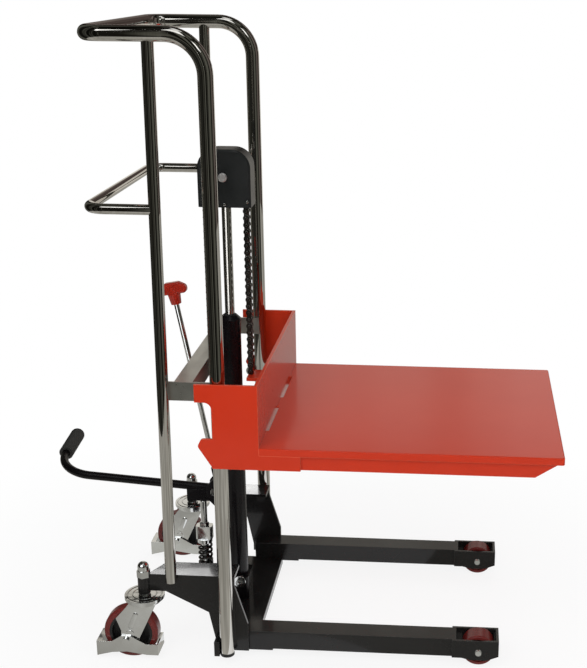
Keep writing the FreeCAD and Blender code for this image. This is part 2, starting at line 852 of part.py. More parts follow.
def make_brace():
    front = behind("dims.brace_front_behind")
    web = front + " - dims.brace_thickness"
    rear = front + " - dims.brace_flange"
    under = "places.brace_top - dims.brace_thickness"
    body = plate("brace", "XZ_Plane",
                 [(front, "dims.brace_bottom"), (front, "places.brace_top"),
                  (rear, "places.brace_top"), (rear, under), (web, under),
                  (web, "dims.brace_bottom")],
                 "2 * places.brace_inner_y", symmetric=True)
    tail = behind("places.post_at_brace + dims.brace_tail_overlap")
    nose = ahead("dims.brace_nose_overlap")
    strip = [(tail, "dims.brace_bottom"), (nose, "dims.brace_bottom"),
             (nose, "places.brace_top"), (tail, "places.brace_top")]
    for side, sign in SIDES:
        pad_layer(body, strip, sign, "places.brace_inner_y", "places.weld_y")
    keep(body, "mid_brace")


# Welded base

def make_side_plates():
    rear = behind("places.plate_rear")
    outline = [(rear, "dims.plate_top"),
               (ahead("dims.plate_nose_ahead"), "dims.plate_top"),
               (ahead("dims.gusset_shoulder_ahead"), "dims.plate_top - dims.gusset_shoulder_drop"),
               (ahead("dims.gusset_toe_ahead"), "dims.gusset_toe_height"),
               (ahead("dims.gusset_toe_ahead"), "dims.plate_bottom"),
               (behind("dims.plate_heel_behind"), "dims.plate_bottom"),
               (behind("dims.plate_waist_behind"), "dims.plate_waist_height"),
               (behind("dims.plate_tail_behind"), "dims.plate_tail_height"),
               (rear, "dims.plate_tail_height")]
    chamfer = "%s * dims.plate_flange_width" % PLATE_CHAMFER_SHARE
    for side, sign in SIDES:
        body = new_body(side + "_plate")
        pad_layer(body, outline, sign, "places.plate_inner_y", "places.weld_y",
                  [((5,), "dims.plate_heel_radius")])
        inner = "%d * places.plate_inner_y" % sign
        edge = "%d * (places.weld_y - dims.plate_flange_width)" % sign
        nose = ahead("dims.plate_nose_ahead")
        flange = new_sketch(body, "XY_Plane", "dims.plate_top - dims.plate_thickness")
        add_polygon(flange, [(rear, inner), (nose, inner), (nose, edge),
                             (rear + " + " + chamfer, edge)])
        document.recompute()
        pad(body, flange, "dims.plate_thickness")
        lug_front = behind("places.mast_r + dims.shaft_play")
        lug_rear = behind("dims.heel_lug_behind")
        lug_top = "dims.plate_bottom + dims.heel_lug_height"
        pad_layer(body, [(lug_rear, "dims.plate_bottom"), (lug_front, "dims.plate_bottom"),
                         (lug_front, lug_top), (lug_rear, lug_top)],
                  sign, "places.plate_inner_y", "places.weld_y + dims.heel_lug_width")
        keep(body, side + "_side_plate")


def make_legs():
    half = "dims.leg_width / 2"
    bore = half + " - dims.leg_wall"
    for side, sign in SIDES:
        body = new_body(side + "_leg_tube")
        section = new_sketch(body, "YZ_Plane")
        add_rectangle(section, ("-(%s)" % half, "dims.leg_bottom"), (half, "places.leg_top"))
        add_rectangle(section, ("-(%s)" % bore, "dims.leg_bottom + dims.leg_wall"),
                      (bore, "places.leg_top - dims.leg_wall"))
        document.recompute()
        pad(body, section, "dims.leg_heel_behind + places.leg_end")
        shoe = new_sketch(body, "XZ_Plane")
        add_rectangle(shoe, ("0", "dims.leg_bottom - dims.leg_shoe_thickness"),
                      ("dims.leg_heel_behind + dims.leg_shoe_ahead", "dims.leg_bottom"))
        document.recompute()
        pad(body, shoe, "dims.leg_width", symmetric=True)
        place(body, behind("dims.leg_heel_behind"), "%d * places.leg_mid_y" % sign)
        keep(body, side + "_leg")


def make_wheel_forks():
    tail = "places.leg_end - dims.cheek_overlap"
    boss = "dims.axle_boss_radius"
    axle = "places.front_wheel_ahead"
    cheek = [(tail, "dims.leg_bottom"),
             (axle + " - 2 * " + boss, "dims.leg_bottom"),
             (axle + " - " + boss, "places.wheel_height - " + boss),
             (axle + " + " + boss, "places.wheel_height - " + boss),
             ("dims.fork_nose_ahead", "dims.fork_nose_bottom"),
             ("dims.fork_nose_ahead", "places.leg_top"),
             (tail, "places.leg_top")]
    inner = "dims.leg_width / 2"
    for side, sign in SIDES:
        body = new_body(side + "_tip_fork")
        nose = new_sketch(body, "XZ_Plane")
        add_rectangle(nose, ("dims.fork_nose_ahead - dims.fork_nose_thickness",
                             "dims.fork_nose_bottom"), ("dims.fork_nose_ahead", "places.leg_top"))
        document.recompute()
        pad(body, nose, "dims.leg_width", symmetric=True)
        for face in (1, -1):
            pad_layer(body, cheek, face, inner, "places.fork_half",
                      [((2, 3), "%s * %s" % (BOSS_ROUND_SHARE, boss))])
        cross_hole(body, axle, "places.wheel_height", "dims.front_axle_d / 2 + dims.slide_gap",
                   "4 * places.fork_half")
        place(body, "places.mast_x", "%d * places.leg_mid_y" % sign)
        keep(body, side + "_wheel_fork")


def make_front_wheels():
    half = "dims.front_wheel_width / 2"
    bore = "dims.front_axle_d / 2 + dims.shaft_play"
    rim = "dims.front_wheel_od / 2"
    hub = "%s * %s" % (WHEEL_HUB_SHARE, rim)
    ring = "%s * %s" % (WHEEL_RING_SHARE, rim)
    floor = half + " - dims.front_wheel_recess"
    axles = []
    for side, sign in SIDES:
        wheel = turned(side + "_roller",
                       [(bore, "-(%s)" % half), (hub, "-(%s)" % half), (hub, "-(%s)" % floor),
                        (ring, "-(%s)" % floor), (ring, "-(%s)" % half), (rim, "-(%s)" % half),
                        (rim, half), (ring, half), (ring, floor), (hub, floor), (hub, half),
                        (bore, half)])
        edge = size("front_wheel_od") / 2
        reach = size("front_wheel_width") / 2
        round_rims(wheel, wheel.Tip, [(edge, reach), (edge, -reach)], "dims.front_wheel_round")
        spot = (ahead("places.front_wheel_ahead"), "%d * places.leg_mid_y" % sign)
        place(wheel, *spot, "places.wheel_height", X_AXIS, "90")
        keep(wheel, side + "_front_wheel")
        reach = "places.fork_half + dims.axle_end_proud"
        axle = turned(side + "_axle", [("0", "-(%s)" % reach),
                                       ("dims.front_axle_d / 2 - dims.axle_end_proud / 2",
                                        "-(%s)" % reach),
                                       ("dims.front_axle_d / 2", "-places.fork_half"),
                                       ("dims.front_axle_d / 2", "places.fork_half"),
                                       ("dims.front_axle_d / 2 - dims.axle_end_proud / 2", reach),
                                       ("0", reach)])
        place(axle, *spot, "places.wheel_height", X_AXIS, "90")
        axles.append(axle)
    keep(group("axles", axles), "front_axles")


def make_base_plate():
    bottom = "dims.base_plate_bottom"
    lip = bottom + " - dims.base_lip_depth"
    front = ahead("dims.base_plate_ahead")
    inside = front + " - dims.base_lip_thickness"
    rear = behind("dims.base_plate_behind")
    body = plate("base", "XZ_Plane",
                 [(rear, bottom), (inside, bottom), (inside, lip), (front, lip),
                  (front, "places.base_top"), (rear, "places.base_top")],
                 "2 * places.leg_inner_y", symmetric=True)
    keep(body, "base_plate")


# Swivel casters

def hexagon(flats):
    corner = "(%s) / sqrt(3)" % flats
    turns = [30 + 60 * step for step in range(6)]
    return [("%s * cos(%d deg)" % (corner, turn), "%s * sin(%d deg)" % (corner, turn))
            for turn in turns]


def make_caster_mountings():
    sockets, stems, nuts = [], [], []
    for side, sign in SIDES:
        spot = ("places.caster_x", "%d * places.caster_y" % sign)
        bore = "dims.stem_d / 2 + dims.slide_gap"
        socket = turned(side + "_socket", [(bore, "dims.socket_bottom"),
                                           ("places.socket_r", "dims.socket_bottom"),
                                           ("places.socket_r", "dims.socket_top"),
                                           (bore, "dims.socket_top")])
        sockets.append(place(socket, *spot))
        head_top = "places.crown_bottom - dims.running_gap"
        thread = "dims.stem_thread_d / 2"
        thread_top = "dims.socket_top + dims.stem_thread_length"
        stem = turned(side + "_stem", [("0", head_top + " - dims.kingpin_head"),
                                       ("dims.kingpin_head_d / 2",
                                        head_top + " - dims.kingpin_head"),
                                       ("dims.kingpin_head_d / 2", head_top),
                                       ("dims.kingpin_d / 2", head_top),
                                       ("dims.kingpin_d / 2", "dims.race_bottom"),
                                       ("places.race_r", "dims.race_bottom"),
                                       ("places.race_r", "places.race_top"),
                                       ("dims.stem_collar_d / 2", "places.race_top"),
                                       ("dims.stem_collar_d / 2", "dims.socket_bottom"),
                                       ("dims.stem_d / 2", "dims.socket_bottom"),
                                       ("dims.stem_d / 2", "dims.socket_top"),
                                       (thread, "dims.socket_top"),
                                       (thread, thread_top),
                                       ("0", thread_top)])
        stems.append(place(stem, *spot))
        nut = plate(side + "_nut", "XY_Plane", hexagon("places.nut_flats"), "dims.nut_hex_height")
        dome_r = "%s * places.nut_flats / 2" % NUT_DOME_SHARE
        dome = add_circle(new_sketch(nut, "XY_Plane", "dims.nut_hex_height"), "0", "0", dome_r)
        document.recompute()
        top = pad(nut, dome, "dims.nut_dome_height")
        rim = NUT_DOME_SHARE * size("nut_flats") / 2
        height = size("nut_hex_height") + size("nut_dome_height")
        round_rims(nut, top, [(rim, height)], "%s * %s" % (DOME_ROUND_SHARE, dome_r))
        bore = add_circle(new_sketch(nut, "XY_Plane"), "0", "0", thread + " + dims.slide_gap")
        document.recompute()
        pocket(nut, bore, "dims.stem_thread_length + dims.shaft_play", backwards=True)
        nuts.append(place(nut, *spot, "dims.socket_top"))
    keep(group("sockets", sockets), "caster_sockets")
    keep(group("stems", stems), "caster_stems")
    keep(group("nuts", nuts), "caster_nuts")


def make_caster_fork(side, sign):
    body = new_body(side + "_swivel")
    crown = new_sketch(body, "XY_Plane", "places.crown_bottom")
    add_circle(crown, "0", "0", "dims.fork_crown_od / 2")
    add_circle(crown, "0", "0", "dims.kingpin_d / 2 + dims.pin_play")
    document.recompute()
    pad(body, crown, "dims.fork_crown_thickness")
    axle_x = "-dims.caster_trail"
    pivot_x = axle_x + " - dims.brake_pivot_behind"
    arm = [("-dims.fork_arm_top_half", "places.crown_bottom"),
           ("dims.fork_arm_top_half", "places.crown_bottom"),
           (axle_x + " + dims.fork_toe_ahead", "dims.fork_toe_height"),
           (pivot_x + " + dims.fork_foot_ahead", "dims.fork_foot_height"),
           (pivot_x + " - dims.fork_foot_behind", "dims.fork_foot_height"),
           (axle_x + " - dims.fork_waist_behind", "dims.fork_waist_height"),
           (axle_x + " - dims.fork_shoulder_behind", "dims.fork_shoulder_height")]
    for face in (1, -1):
        pad_layer(body, arm, face, "places.arm_inner", "places.arm_outer",
                  [((3, 4), "dims.fork_foot_round")])
    cross_hole(body, pivot_x, "dims.brake_pivot_height", "dims.brake_pin_d / 2 + dims.pin_play",
               "4 * places.arm_outer")
    cross_pin(body, axle_x, "places.caster_wheel_z", "dims.caster_axle_d / 2",
              "2 * (places.arm_outer + dims.caster_axle_head)")
    for face in (1, -1):
        offset, length = layer(face, "places.arm_outer",
                               "places.arm_outer + dims.caster_axle_head")
        head = new_sketch(body, "XZ_Plane", offset)
        add_circle(head, axle_x, "places.caster_wheel_z", "dims.caster_axle_head_d / 2")
        document.recompute()
        pad(body, head, length)
    place(body, "places.caster_x", "%d * places.caster_y" % sign)
    keep(body, side + "_caster_fork")


def make_caster_wheel(side, sign):
    bore = "dims.caster_axle_d / 2 + dims.shaft_play"
    hub = "dims.caster_hub_od / 2"
    core = "dims.caster_wheel_od / 2 - dims.caster_tyre_depth"
    well = core + " - dims.caster_rim_thickness"
    half = "dims.caster_tyre_width / 2"
    hub_half = half + " + dims.caster_hub_overhang"
    web = "dims.caster_core_web / 2"
    wheel = turned(side + "_core",
                   [(bore, "-(%s)" % hub_half), (hub, "-(%s)" % hub_half), (hub, "-(%s)" % web),
                    (well, "-(%s)" % web), (well, "-(%s)" % half), (core, "-(%s)" % half),
                    (core, half), (well, half), (well, web), (hub, web), (hub, hub_half),
                    (bore, hub_half)])
    rim = "dims.caster_wheel_od / 2"
    tyre = turned(side + "_tyre", [(core, "-(%s)" % half), (rim, "-(%s)" % half), (rim, half),
                                   (core, half)])
    edge = size("caster_wheel_od") / 2
    reach = size("caster_tyre_width") / 2
    round_rims(tyre, tyre.Tip, [(edge, reach), (edge, -reach)], "dims.caster_tyre_round")
    for item in (wheel, tyre):
        place(item, "places.caster_x - dims.caster_trail", "%d * places.caster_y" % sign,
              "places.caster_wheel_z", X_AXIS, "90")
    keep(wheel, side + "_caster_core")
    keep(tyre, side + "_caster_tyre")


def make_caster_brake(side, sign):
    """A rocker pressed like a bow tie, with a tread across the wheel at each end."""
    body = new_body(side + "_foot_brake")
    wheel_x = "-dims.caster_trail"
    pivot_x = wheel_x + " - dims.brake_pivot_behind"
    tail = wheel_x + " - dims.brake_tail_behind"
    nose = wheel_x + " + dims.brake_nose_ahead"
    wall = "dims.brake_thickness"
    treads = [((tail, "dims.brake_tail_bottom"), (tail + " + " + wall, "dims.brake_tail_top")),
              ((tail, "dims.brake_tail_top - " + wall),
               (tail + " + dims.brake_tread", "dims.brake_tail_top"))]
    for low, high in treads:
        tread = add_rectangle(new_sketch(body, "XZ_Plane"), low, high)
        document.recompute()
        pad(body, tread, "2 * places.brake_outer", symmetric=True)
    tail_root = wheel_x + " - dims.brake_tail_root_behind"
    nose_root = wheel_x + " + dims.brake_nose_root_ahead"
    strap = [(tail, "dims.brake_tail_bottom"), (tail_root, "dims.brake_tail_root_bottom"),
             (pivot_x, "dims.brake_waist_bottom"), (nose_root, "dims.brake_nose_bottom"),
             (nose, "dims.brake_nose_bottom"), (nose, "dims.brake_nose_top"),
             (nose_root, "dims.brake_nose_top"),
             (pivot_x + " + dims.brake_waist_half", "dims.brake_waist_top"),
             (pivot_x + " - dims.brake_waist_half", "dims.brake_waist_top"),
             (tail_root, "dims.brake_tail_top"), (tail, "dims.brake_tail_top")]
    bolt = [("places.arm_inner + dims.brake_gap", "places.brake_inner", "dims.brake_pin_d / 2"),
            ("places.brake_outer", "places.brake_outer + dims.brake_bolt_head",
             "dims.brake_bolt_head_d / 2")]
    for face in (1, -1):
        pad_layer(body, strap, face, "places.brake_inner", "places.brake_outer")
        for inner, outer, radius in bolt:
            offset, length = layer(face, inner, outer)
            round_end = new_sketch(body, "XZ_Plane", offset)
            add_circle(round_end, pivot_x, "dims.brake_pivot_height", radius)
            document.recompute()
            pad(body, round_end, length)
    front = add_rectangle(new_sketch(body, "XZ_Plane"),
                          (nose + " - " + wall, "dims.brake_nose_bottom"),
                          (nose, "dims.brake_nose_top"))
    document.recompute()
    pad(body, front, "2 * places.brake_outer", symmetric=True)
    place(body, "places.caster_x", "%d * places.caster_y" % sign)
    keep(body, side + "_caster_brake")


def make_casters():
    make_caster_mountings()
    for side, sign in SIDES:
        make_caster_fork(side, sign)
        make_caster_wheel(side, sign)
        make_caster_brake(side, sign)


# Lift cylinder, ram and lift head

def make_cylinder():
    wall = "dims.cylinder_od / 2"
    bore = "dims.cylinder_bore / 2"
    floor = "places.block_top + dims.cylinder_floor"
    tube = turned("cylinder", [("0", "places.block_top"), (wall, "places.block_top"),
                               (wall, "dims.cylinder_top"), (bore, "dims.cylinder_top"),
                               (bore, floor), ("0", floor)])
    keep(place(tube, "places.ram_x"), "lift_cylinder")
    hole = "dims.rod_d / 2 + dims.shaft_play"
    spigot = bore + " - dims.slide_gap"
    spigot_foot = "dims.cylinder_top - dims.gland_spigot"
    rim = "dims.gland_od / 2"
    gland = turned("gland", [(hole, spigot_foot), (spigot, spigot_foot),
                             (spigot, "dims.cylinder_top"), (rim, "dims.cylinder_top"),
                             (rim, "places.gland_top - dims.gland_bevel"),
                             (rim + " - dims.gland_bevel", "places.gland_top"),
                             (hole, "places.gland_top")])
    keep(place(gland, "places.ram_x"), "cylinder_gland")
    piston = bore + " - dims.running_gap"
    piston_top = "dims.piston_rest_height + dims.piston_height"
    shaft = "dims.rod_d / 2"
    spigot = "dims.rod_spigot_d / 2"
    tip = "places.head_block_bottom + dims.rod_spigot_length"
    rod = turned("rod", [("0", "dims.piston_rest_height"), (piston, "dims.piston_rest_height"),
                         (piston, piston_top), (shaft, piston_top),
                         (shaft, "places.head_block_bottom"),
                         (spigot, "places.head_block_bottom"), (spigot, tip), ("0", tip)])
    keep(place(rod, "places.ram_x"), "piston_rod")


def make_head_frame():
    half = "dims.head_block_half"
    body = plate("head_yoke", "XZ_Plane",
                 [("-" + half, "places.head_block_bottom"), (half, "places.head_block_bottom"),
                  (half, "places.head_block_top"), ("-" + half, "places.head_block_top")],
                 "2 * places.cheek_outer_y", symmetric=True)
    half = "dims.head_cheek_half"
    top = "dims.sheave_height + dims.head_cheek_rise"
    cheek = [("-" + half, "places.head_block_top"), (half, "places.head_block_top"),
             (half, top), ("-" + half, top)]
    for side, sign in SIDES:
        pad_layer(body, cheek, sign, "places.cheek_inner_y", "places.cheek_outer_y",
                  [((2, 3), "%s * %s" % (BOSS_ROUND_SHARE, half))])
    cross_hole(body, "0", "dims.sheave_height", "dims.sheave_axle_d / 2 + dims.slide_gap",
               "4 * places.cheek_outer_y")
    seat = new_sketch(body, "XY_Plane", "places.head_block_bottom")
    add_circle(seat, "0", "0", "dims.rod_spigot_d / 2 + dims.slide_gap")
    document.recompute()
    pocket(body, seat, "dims.rod_spigot_length + dims.shaft_play", backwards=True)
    keep(place(body, "places.ram_x"), "head_frame")


def cover_half(side, sign):
    """One half of the lift head's cover: a rounded pan, open at the bottom and at the seam."""
    top = "dims.sheave_height + dims.head_rise"
    bottom = "dims.sheave_height - dims.head_drop"
    body = new_body(side + "_cover")
    outline = [("-dims.head_behind", bottom), ("dims.head_ahead", bottom),
               ("dims.head_ahead", top), ("-dims.head_behind", top)]
    pan = pad_layer(body, outline, sign, "0", "dims.head_half_width",
                    [((2, 3), "dims.head_top_radius")])
    face = sign * size("head_half_width")
    low = size("sheave_height") - size("head_drop")
    open_faces = []
    for number, side_face in enumerate(pan.Shape.Faces, start=1):
        box = side_face.BoundBox
        at_seam = same(box.YLength, 0) and same(box.YMin, 0)
        at_bottom = same(box.ZLength, 0) and same(box.ZMin, low)
        if at_seam or at_bottom:
            open_faces.append("Face%d" % number)
    shell = body.newObject("PartDesign::Thickness", "shell")
    shell.Base = (pan, open_faces)
    shell.setExpression("Value", "dims.head_wall")
    shell.Reversed = True
    document.recompute()
    rim = []
    for number, edge in enumerate(shell.Shape.Edges, start=1):
        ends = [vertex.Point for vertex in edge.Vertexes]
        on_face = all(same(end.y, face) for end in ends)
        if on_face and not all(same(end.z, low) for end in ends):
            rim.append("Edge%d" % number)
    bevel = body.newObject("PartDesign::Chamfer", "bevel")
    bevel.Base = (shell, rim)
    bevel.setExpression("Size", "dims.head_bevel")
    document.recompute()
    cross_hole(body, "0", "dims.sheave_height", "dims.sheave_axle_d / 2 + dims.slide_gap",
               "4 * dims.head_half_width")
    return place(body, "places.ram_x")


def make_head():
    make_head_frame()
    keep(group("cover", [cover_half(side, sign) for side, sign in SIDES]), "head_cover")
    shaft = "dims.sheave_axle_d / 2"
    head = "dims.sheave_bolt_head_d / 2"
    seat = "dims.head_half_width"
    end = seat + " + dims.sheave_bolt_head"
    bevel = "%s * %s" % (HEAD_CORNER_SHARE, "dims.sheave_bolt_head")
    axle = turned("head_axle",
                  [("0", "-(%s)" % end), (head + " - " + bevel, "-(%s)" % end),
                   (head, "%s - (%s)" % (bevel, end)), (head, "-" + seat), (shaft, "-" + seat),
                   (shaft, seat), (head, seat), (head, "%s - %s" % (end, bevel)),
                   (head + " - " + bevel, end), ("0", end)])
    keep(place(axle, "places.ram_x", "0", "dims.sheave_height", X_AXIS, "90"), "sheave_axle")
    bore = "dims.sheave_axle_d / 2 + dims.shaft_play"
    half = "places.sheave_half"
    inside = "places.sheave_half - dims.sheave_flange_thickness"
    flange = "places.sheave_flange_r"
    rim = "places.sheave_rim"
    sheave = turned("sheave", [(bore, "-" + half), (flange, "-" + half),
                               (flange, "-(%s)" % inside), (rim, "-(%s)" % inside),
                               (rim, inside), (flange, inside), (flange, half), (bore, half)])
    keep(place(sheave, "places.ram_x", "0", "dims.sheave_height", X_AXIS, "90"), "chain_sheave")


# Roller chain

def chain_link(name, inner, outer):
    """Two waisted plates between two |Y| places; the upper pin is at the link's origin."""
    body = new_body(name)
    radius = "dims.chain_plate_height / 2"
    waist = "%s * %s" % (LINK_WAIST_SHARE, radius)
    bar = [("-(%s)" % waist, "-dims.chain_pitch"), (waist, "-dims.chain_pitch"), (waist, "0"),
           ("-(%s)" % waist, "0")]
    for side, sign in SIDES:
        offset, length = layer(sign, inner, outer)
        ends = new_sketch(body, "XZ_Plane", offset)
        add_circle(ends, "0", "0", radius)
        add_circle(ends, "0", "-dims.chain_pitch", radius)
        document.recompute()
        body.AllowCompound = True
        pad(body, ends, length)
        pad_layer(body, bar, sign, inner, outer)
    return body


def chain_pair(body, radius):
    """A sketch of two circles on the pins of a link."""
    sketch = new_sketch(body, "XZ_Plane")
    add_circle(sketch, "0", "0", radius)
    add_circle(sketch, "0", "-dims.chain_pitch", radius)
    document.recompute()
    return sketch


def make_links():
    roller_half = "dims.chain_inner_width / 2"
    inner = chain_link("inner_link", roller_half, roller_half + " + dims.chain_plate_thickness")
    pad(inner, chain_pair(inner, "dims.chain_roller_d / 2"), "dims.chain_inner_width",
        symmetric=True)
    pocket(inner, chain_pair(inner, "dims.chain_pin_d / 2 + dims.chain_play"),
           "4 * places.chain_half_width", symmetric=True)
    outer = chain_link("outer_link", "places.outer_plate_y",
                       "places.outer_plate_y + dims.chain_plate_thickness")
    pad(outer, chain_pair(outer, "dims.chain_pin_d / 2"), "2 * places.chain_half_width",
        symmetric=True)
    return inner, outer


def linked(original, formula):
    """A copy of a link at a placement formula."""
    copy = document.addObject("App::Link", "link")
    copy.LinkedObject = original
    copy.setExpression("Placement", formula)
    return copy


def make_chain():
    inner, outer = make_links()
    strands = (("front_chain", "places.front_chain_x", CHAIN_FRONT_LINKS),
               ("rear_chain", "places.rear_chain_x", CHAIN_REAR_LINKS))
    for label, x, count in strands:
        links = []
        for step in range(count):
            z = "dims.sheave_height - %d * dims.chain_pitch" % step
            kind = inner if step % 2 else outer
            links.append(linked(kind, "placement(vector(%s; 0; %s); rotation(vector(0; 1; 0);"
                                " 0 deg))" % (x, z)))
        keep(group(label + "_links", links), label)
    turn = 180 / CHAIN_WRAP_LINKS
    links = []
    for step in range(CHAIN_WRAP_LINKS):
        x = "places.ram_x + places.pitch_radius * cos(%s deg)" % (turn * step)
        z = "dims.sheave_height + places.pitch_radius * sin(%s deg)" % (turn * step)
        lean = -(180 + turn * (step + 0.5))
        kind = outer if step % 2 else inner
        links.append(linked(kind, "placement(vector(%s; 0; %s); rotation(vector(0; 1; 0);"
                            " %s deg))" % (x, z, lean)))
    keep(group("wrap_links", links), "chain_wrap")


def anchor_lug(body, x, z, foot):
    """A round-topped lug between the last link's plates, with a hole for its pin."""
    radius = "dims.anchor_lug_radius"
    stem = new_sketch(body, "XZ_Plane")
    add_rectangle(stem, ("%s - %s" % (x, radius), foot), ("%s + %s" % (x, radius), z))
    document.recompute()
    pad(body, stem, "2 * places.lug_half", symmetric=True)
    cross_pin(body, x, z, radius, "2 * places.lug_half")
    cross_hole(body, x, z, "dims.chain_pin_d / 2 + dims.chain_play", "4 * places.lug_half")


def make_anchors():
    rear = new_body("rear_anchor")
    anchor_lug(rear, "places.rear_chain_x", "places.rear_chain_end", "places.brace_top")
    keep(rear, "rear_chain_anchor")
    weld = ahead("dims.carriage_front_ahead - dims.front_plate_thickness")
    tip = "places.front_chain_x - dims.anchor_lug_radius"
    under = "places.arm_top - dims.anchor_arm_thickness"
    front = plate("front_anchor", "XZ_Plane",
                  [(tip, under), (weld, under), (weld, "places.arm_top"),
                   (tip, "places.arm_top")],
                  "2 * dims.anchor_arm_half", symmetric=True)
    gusset = new_sketch(front, "XZ_Plane")
    add_polygon(gusset, [("places.front_chain_x", under), (weld, under + " - dims.anchor_gusset"),
                         (weld, under)])
    document.recompute()
    pad(front, gusset, "dims.anchor_arm_thickness", symmetric=True)
    anchor_lug(front, "places.front_chain_x", "places.front_chain_end", "places.arm_top")
    keep(front, "front_chain_anchor")


# Carriage and platform

def make_carriage_plates():
    outline = [(ahead("dims.carriage_front_ahead"), "dims.carriage_top"),
               (behind("dims.ear_behind"), "dims.carriage_top"),
               (behind("dims.ear_behind"), "dims.ear_bottom"),
               (behind("dims.notch_behind"), "dims.ear_bottom"),
               (behind("dims.notch_behind"), "dims.low_ear_top"),
               (behind("dims.low_ear_shoulder_behind"), "dims.low_ear_top"),
               (behind("dims.low_ear_behind"), "dims.low_ear_tip_height"),
               (behind("dims.low_ear_root_behind"), "dims.carriage_bottom"),
               (ahead("dims.carriage_foot_ahead"), "dims.carriage_bottom"),
               (ahead("dims.carriage_foot_ahead"), "places.lip_bottom"),
               (ahead("dims.carriage_front_ahead"), "places.lip_bottom")]
    for side, sign in SIDES:
        body = new_body(side + "_cheek")
        pad_layer(body, outline, sign, "places.carriage_inner_y", "dims.carriage_half_width",
                  [((3,), "dims.notch_radius"), ((5, 6), "dims.low_ear_radius")])
        keep(body, side + "_carriage_plate")
    front = block("front_plate", "dims.front_plate_thickness", "2 * places.carriage_inner_y",
                  "dims.carriage_top - places.lip_bottom")
    place(front, ahead("dims.carriage_front_ahead - dims.front_plate_thickness"),
          "-places.carriage_inner_y", "places.lip_bottom")
    keep(front, "carriage_front_plate")


def make_tray():
    rear = ahead("dims.carriage_front_ahead")
    front = ahead("places.platform_front")
    half = "dims.carriage_half_width"
    body = new_body("tray")
    outline = add_rectangle(new_sketch(body, "XY_Plane", "places.lip_bottom"),
                            (rear, "-" + half), (front, half))
    document.recompute()
    feature = pad(body, outline, "dims.tray_lip")
    feature = round_corners(body, feature, outline, (1, 2), "dims.tray_corner_radius")
    rear_x = size("mast_x") + size("carriage_front_ahead")
    rim = []
    for number, edge in enumerate(feature.Shape.Edges, start=1):
        ends = [vertex.Point for vertex in edge.Vertexes]
        on_top = all(same(end.z, size("platform_top")) for end in ends)
        if on_top and not all(same(end.x, rear_x) for end in ends):
            rim.append("Edge%d" % number)
    fold = body.newObject("PartDesign::Fillet", "fold")
    fold.Base = (feature, rim)
    fold.setExpression("Radius", "dims.tray_fold_radius")
    document.recompute()
    wall = "dims.tray_thickness"
    hollow = new_sketch(body, "XY_Plane", "places.lip_bottom")
    add_rectangle(hollow, (rear + " - dims.overrun", "%s - %s" % (wall, half)),
                  ("%s - %s" % (front, wall), "%s - %s" % (half, wall)))
    document.recompute()
    pocket(body, hollow, "dims.tray_lip - " + wall, backwards=True)
    slots = new_sketch(body, "XY_Plane", "dims.platform_top")
    for side, sign in SIDES:
        add_rectangle(slots, (rear + " - dims.overrun", "%d * dims.tray_slot_near" % sign),
                      (rear + " + dims.tray_slot_width", "%d * dims.tray_slot_far" % sign))
    document.recompute()
    pocket(body, slots, wall)
    keep(body, "platform_tray")


def make_rails():
    rear = ahead("dims.carriage_front_ahead")
    front = "places.mast_x + places.rail_front"
    outline = [(rear, "places.rail_bottom"), (front + " - dims.rail_taper", "places.rail_bottom"),
               (front, "places.lip_bottom - dims.rail_nose_below_lip"),
               (front, "places.tray_under"), (rear, "places.tray_under")]
    inner = "places.carriage_inner_y - dims.rail_width"
    rails = []
    for side, sign in SIDES:
        body = new_body(side + "_rail")
        pad_layer(body, outline, sign, inner, "places.carriage_inner_y")
        hollow = new_sketch(body, "XY_Plane", "places.rail_bottom")
        add_rectangle(hollow, (rear + " - dims.overrun",
                               "%d * (%s + dims.rail_wall)" % (sign, inner)),
                      (front + " - dims.rail_wall",
                       "%d * (places.carriage_inner_y - dims.rail_wall)" % sign))
        document.recompute()
        pocket(body, hollow, "places.tray_under - places.rail_bottom - dims.rail_wall",
               backwards=True)
        rails.append(body)
    keep(group("rails", rails), "fork_rails")


def guide_roller(name, x, y, z):
    """A grooved roller whose waist runs round the mast tube."""
    half = "dims.roller_width / 2"
    outside = cylinder(name + "_blank", "dims.roller_flange_radius", "dims.roller_width")
    place(outside, x, "%s + %s" % (y, half), z, X_AXIS, "90")
    groove = document.addObject("Part::Torus", name + "_groove")
    bind(groove, Radius1="dims.roller_offset", Radius2="places.groove_radius")
    place(groove, x, y, z, X_AXIS, "90")
    bore = cylinder(name + "_bore", "dims.roller_axle_d / 2 + dims.shaft_play",
                    "dims.roller_width + 2 * dims.overrun")
    place(bore, x, "%s + %s + dims.overrun" % (y, half), z, X_AXIS, "90")
    return cut(name, cut(name + "_spool", outside, groove), bore)


def make_guide_rollers():
    stations = (("upper", behind("dims.roller_offset"), "dims.upper_roller_height"),
                ("rear", behind("dims.roller_offset"), "dims.rear_roller_height"),
                ("lower", ahead("dims.roller_offset"), "dims.lower_roller_height"))
    half = "dims.roller_width / 2"
    collar = "places.carriage_inner_y - places.mast_half_gauge - %s - dims.running_gap" % half
    reach = "places.carriage_inner_y - places.mast_half_gauge + " + half
    shaft = "dims.roller_axle_d / 2"
    shoulder = "%s * dims.roller_axle_d" % AXLE_COLLAR_SHARE
    axles = []
    for station, x, z in stations:
        rollers = []
        for side, sign in SIDES:
            name = "%s_%s" % (station, side)
            rollers.append(guide_roller(name, x, "%d * places.mast_half_gauge" % sign, z))
            axle = turned(name + "_axle", [("0", "0"), (shoulder, "0"), (shoulder, collar),
                                           (shaft, collar), (shaft, reach), ("0", reach)])
            place(axle, x, "%d * places.carriage_inner_y" % sign, z, X_AXIS, str(90 * sign))
            axles.append(axle)
        keep(group(station + "_rollers", rollers), station + "_guide_rollers")
    keep(group("roller_pins", axles), "roller_axles")


# Foot pump

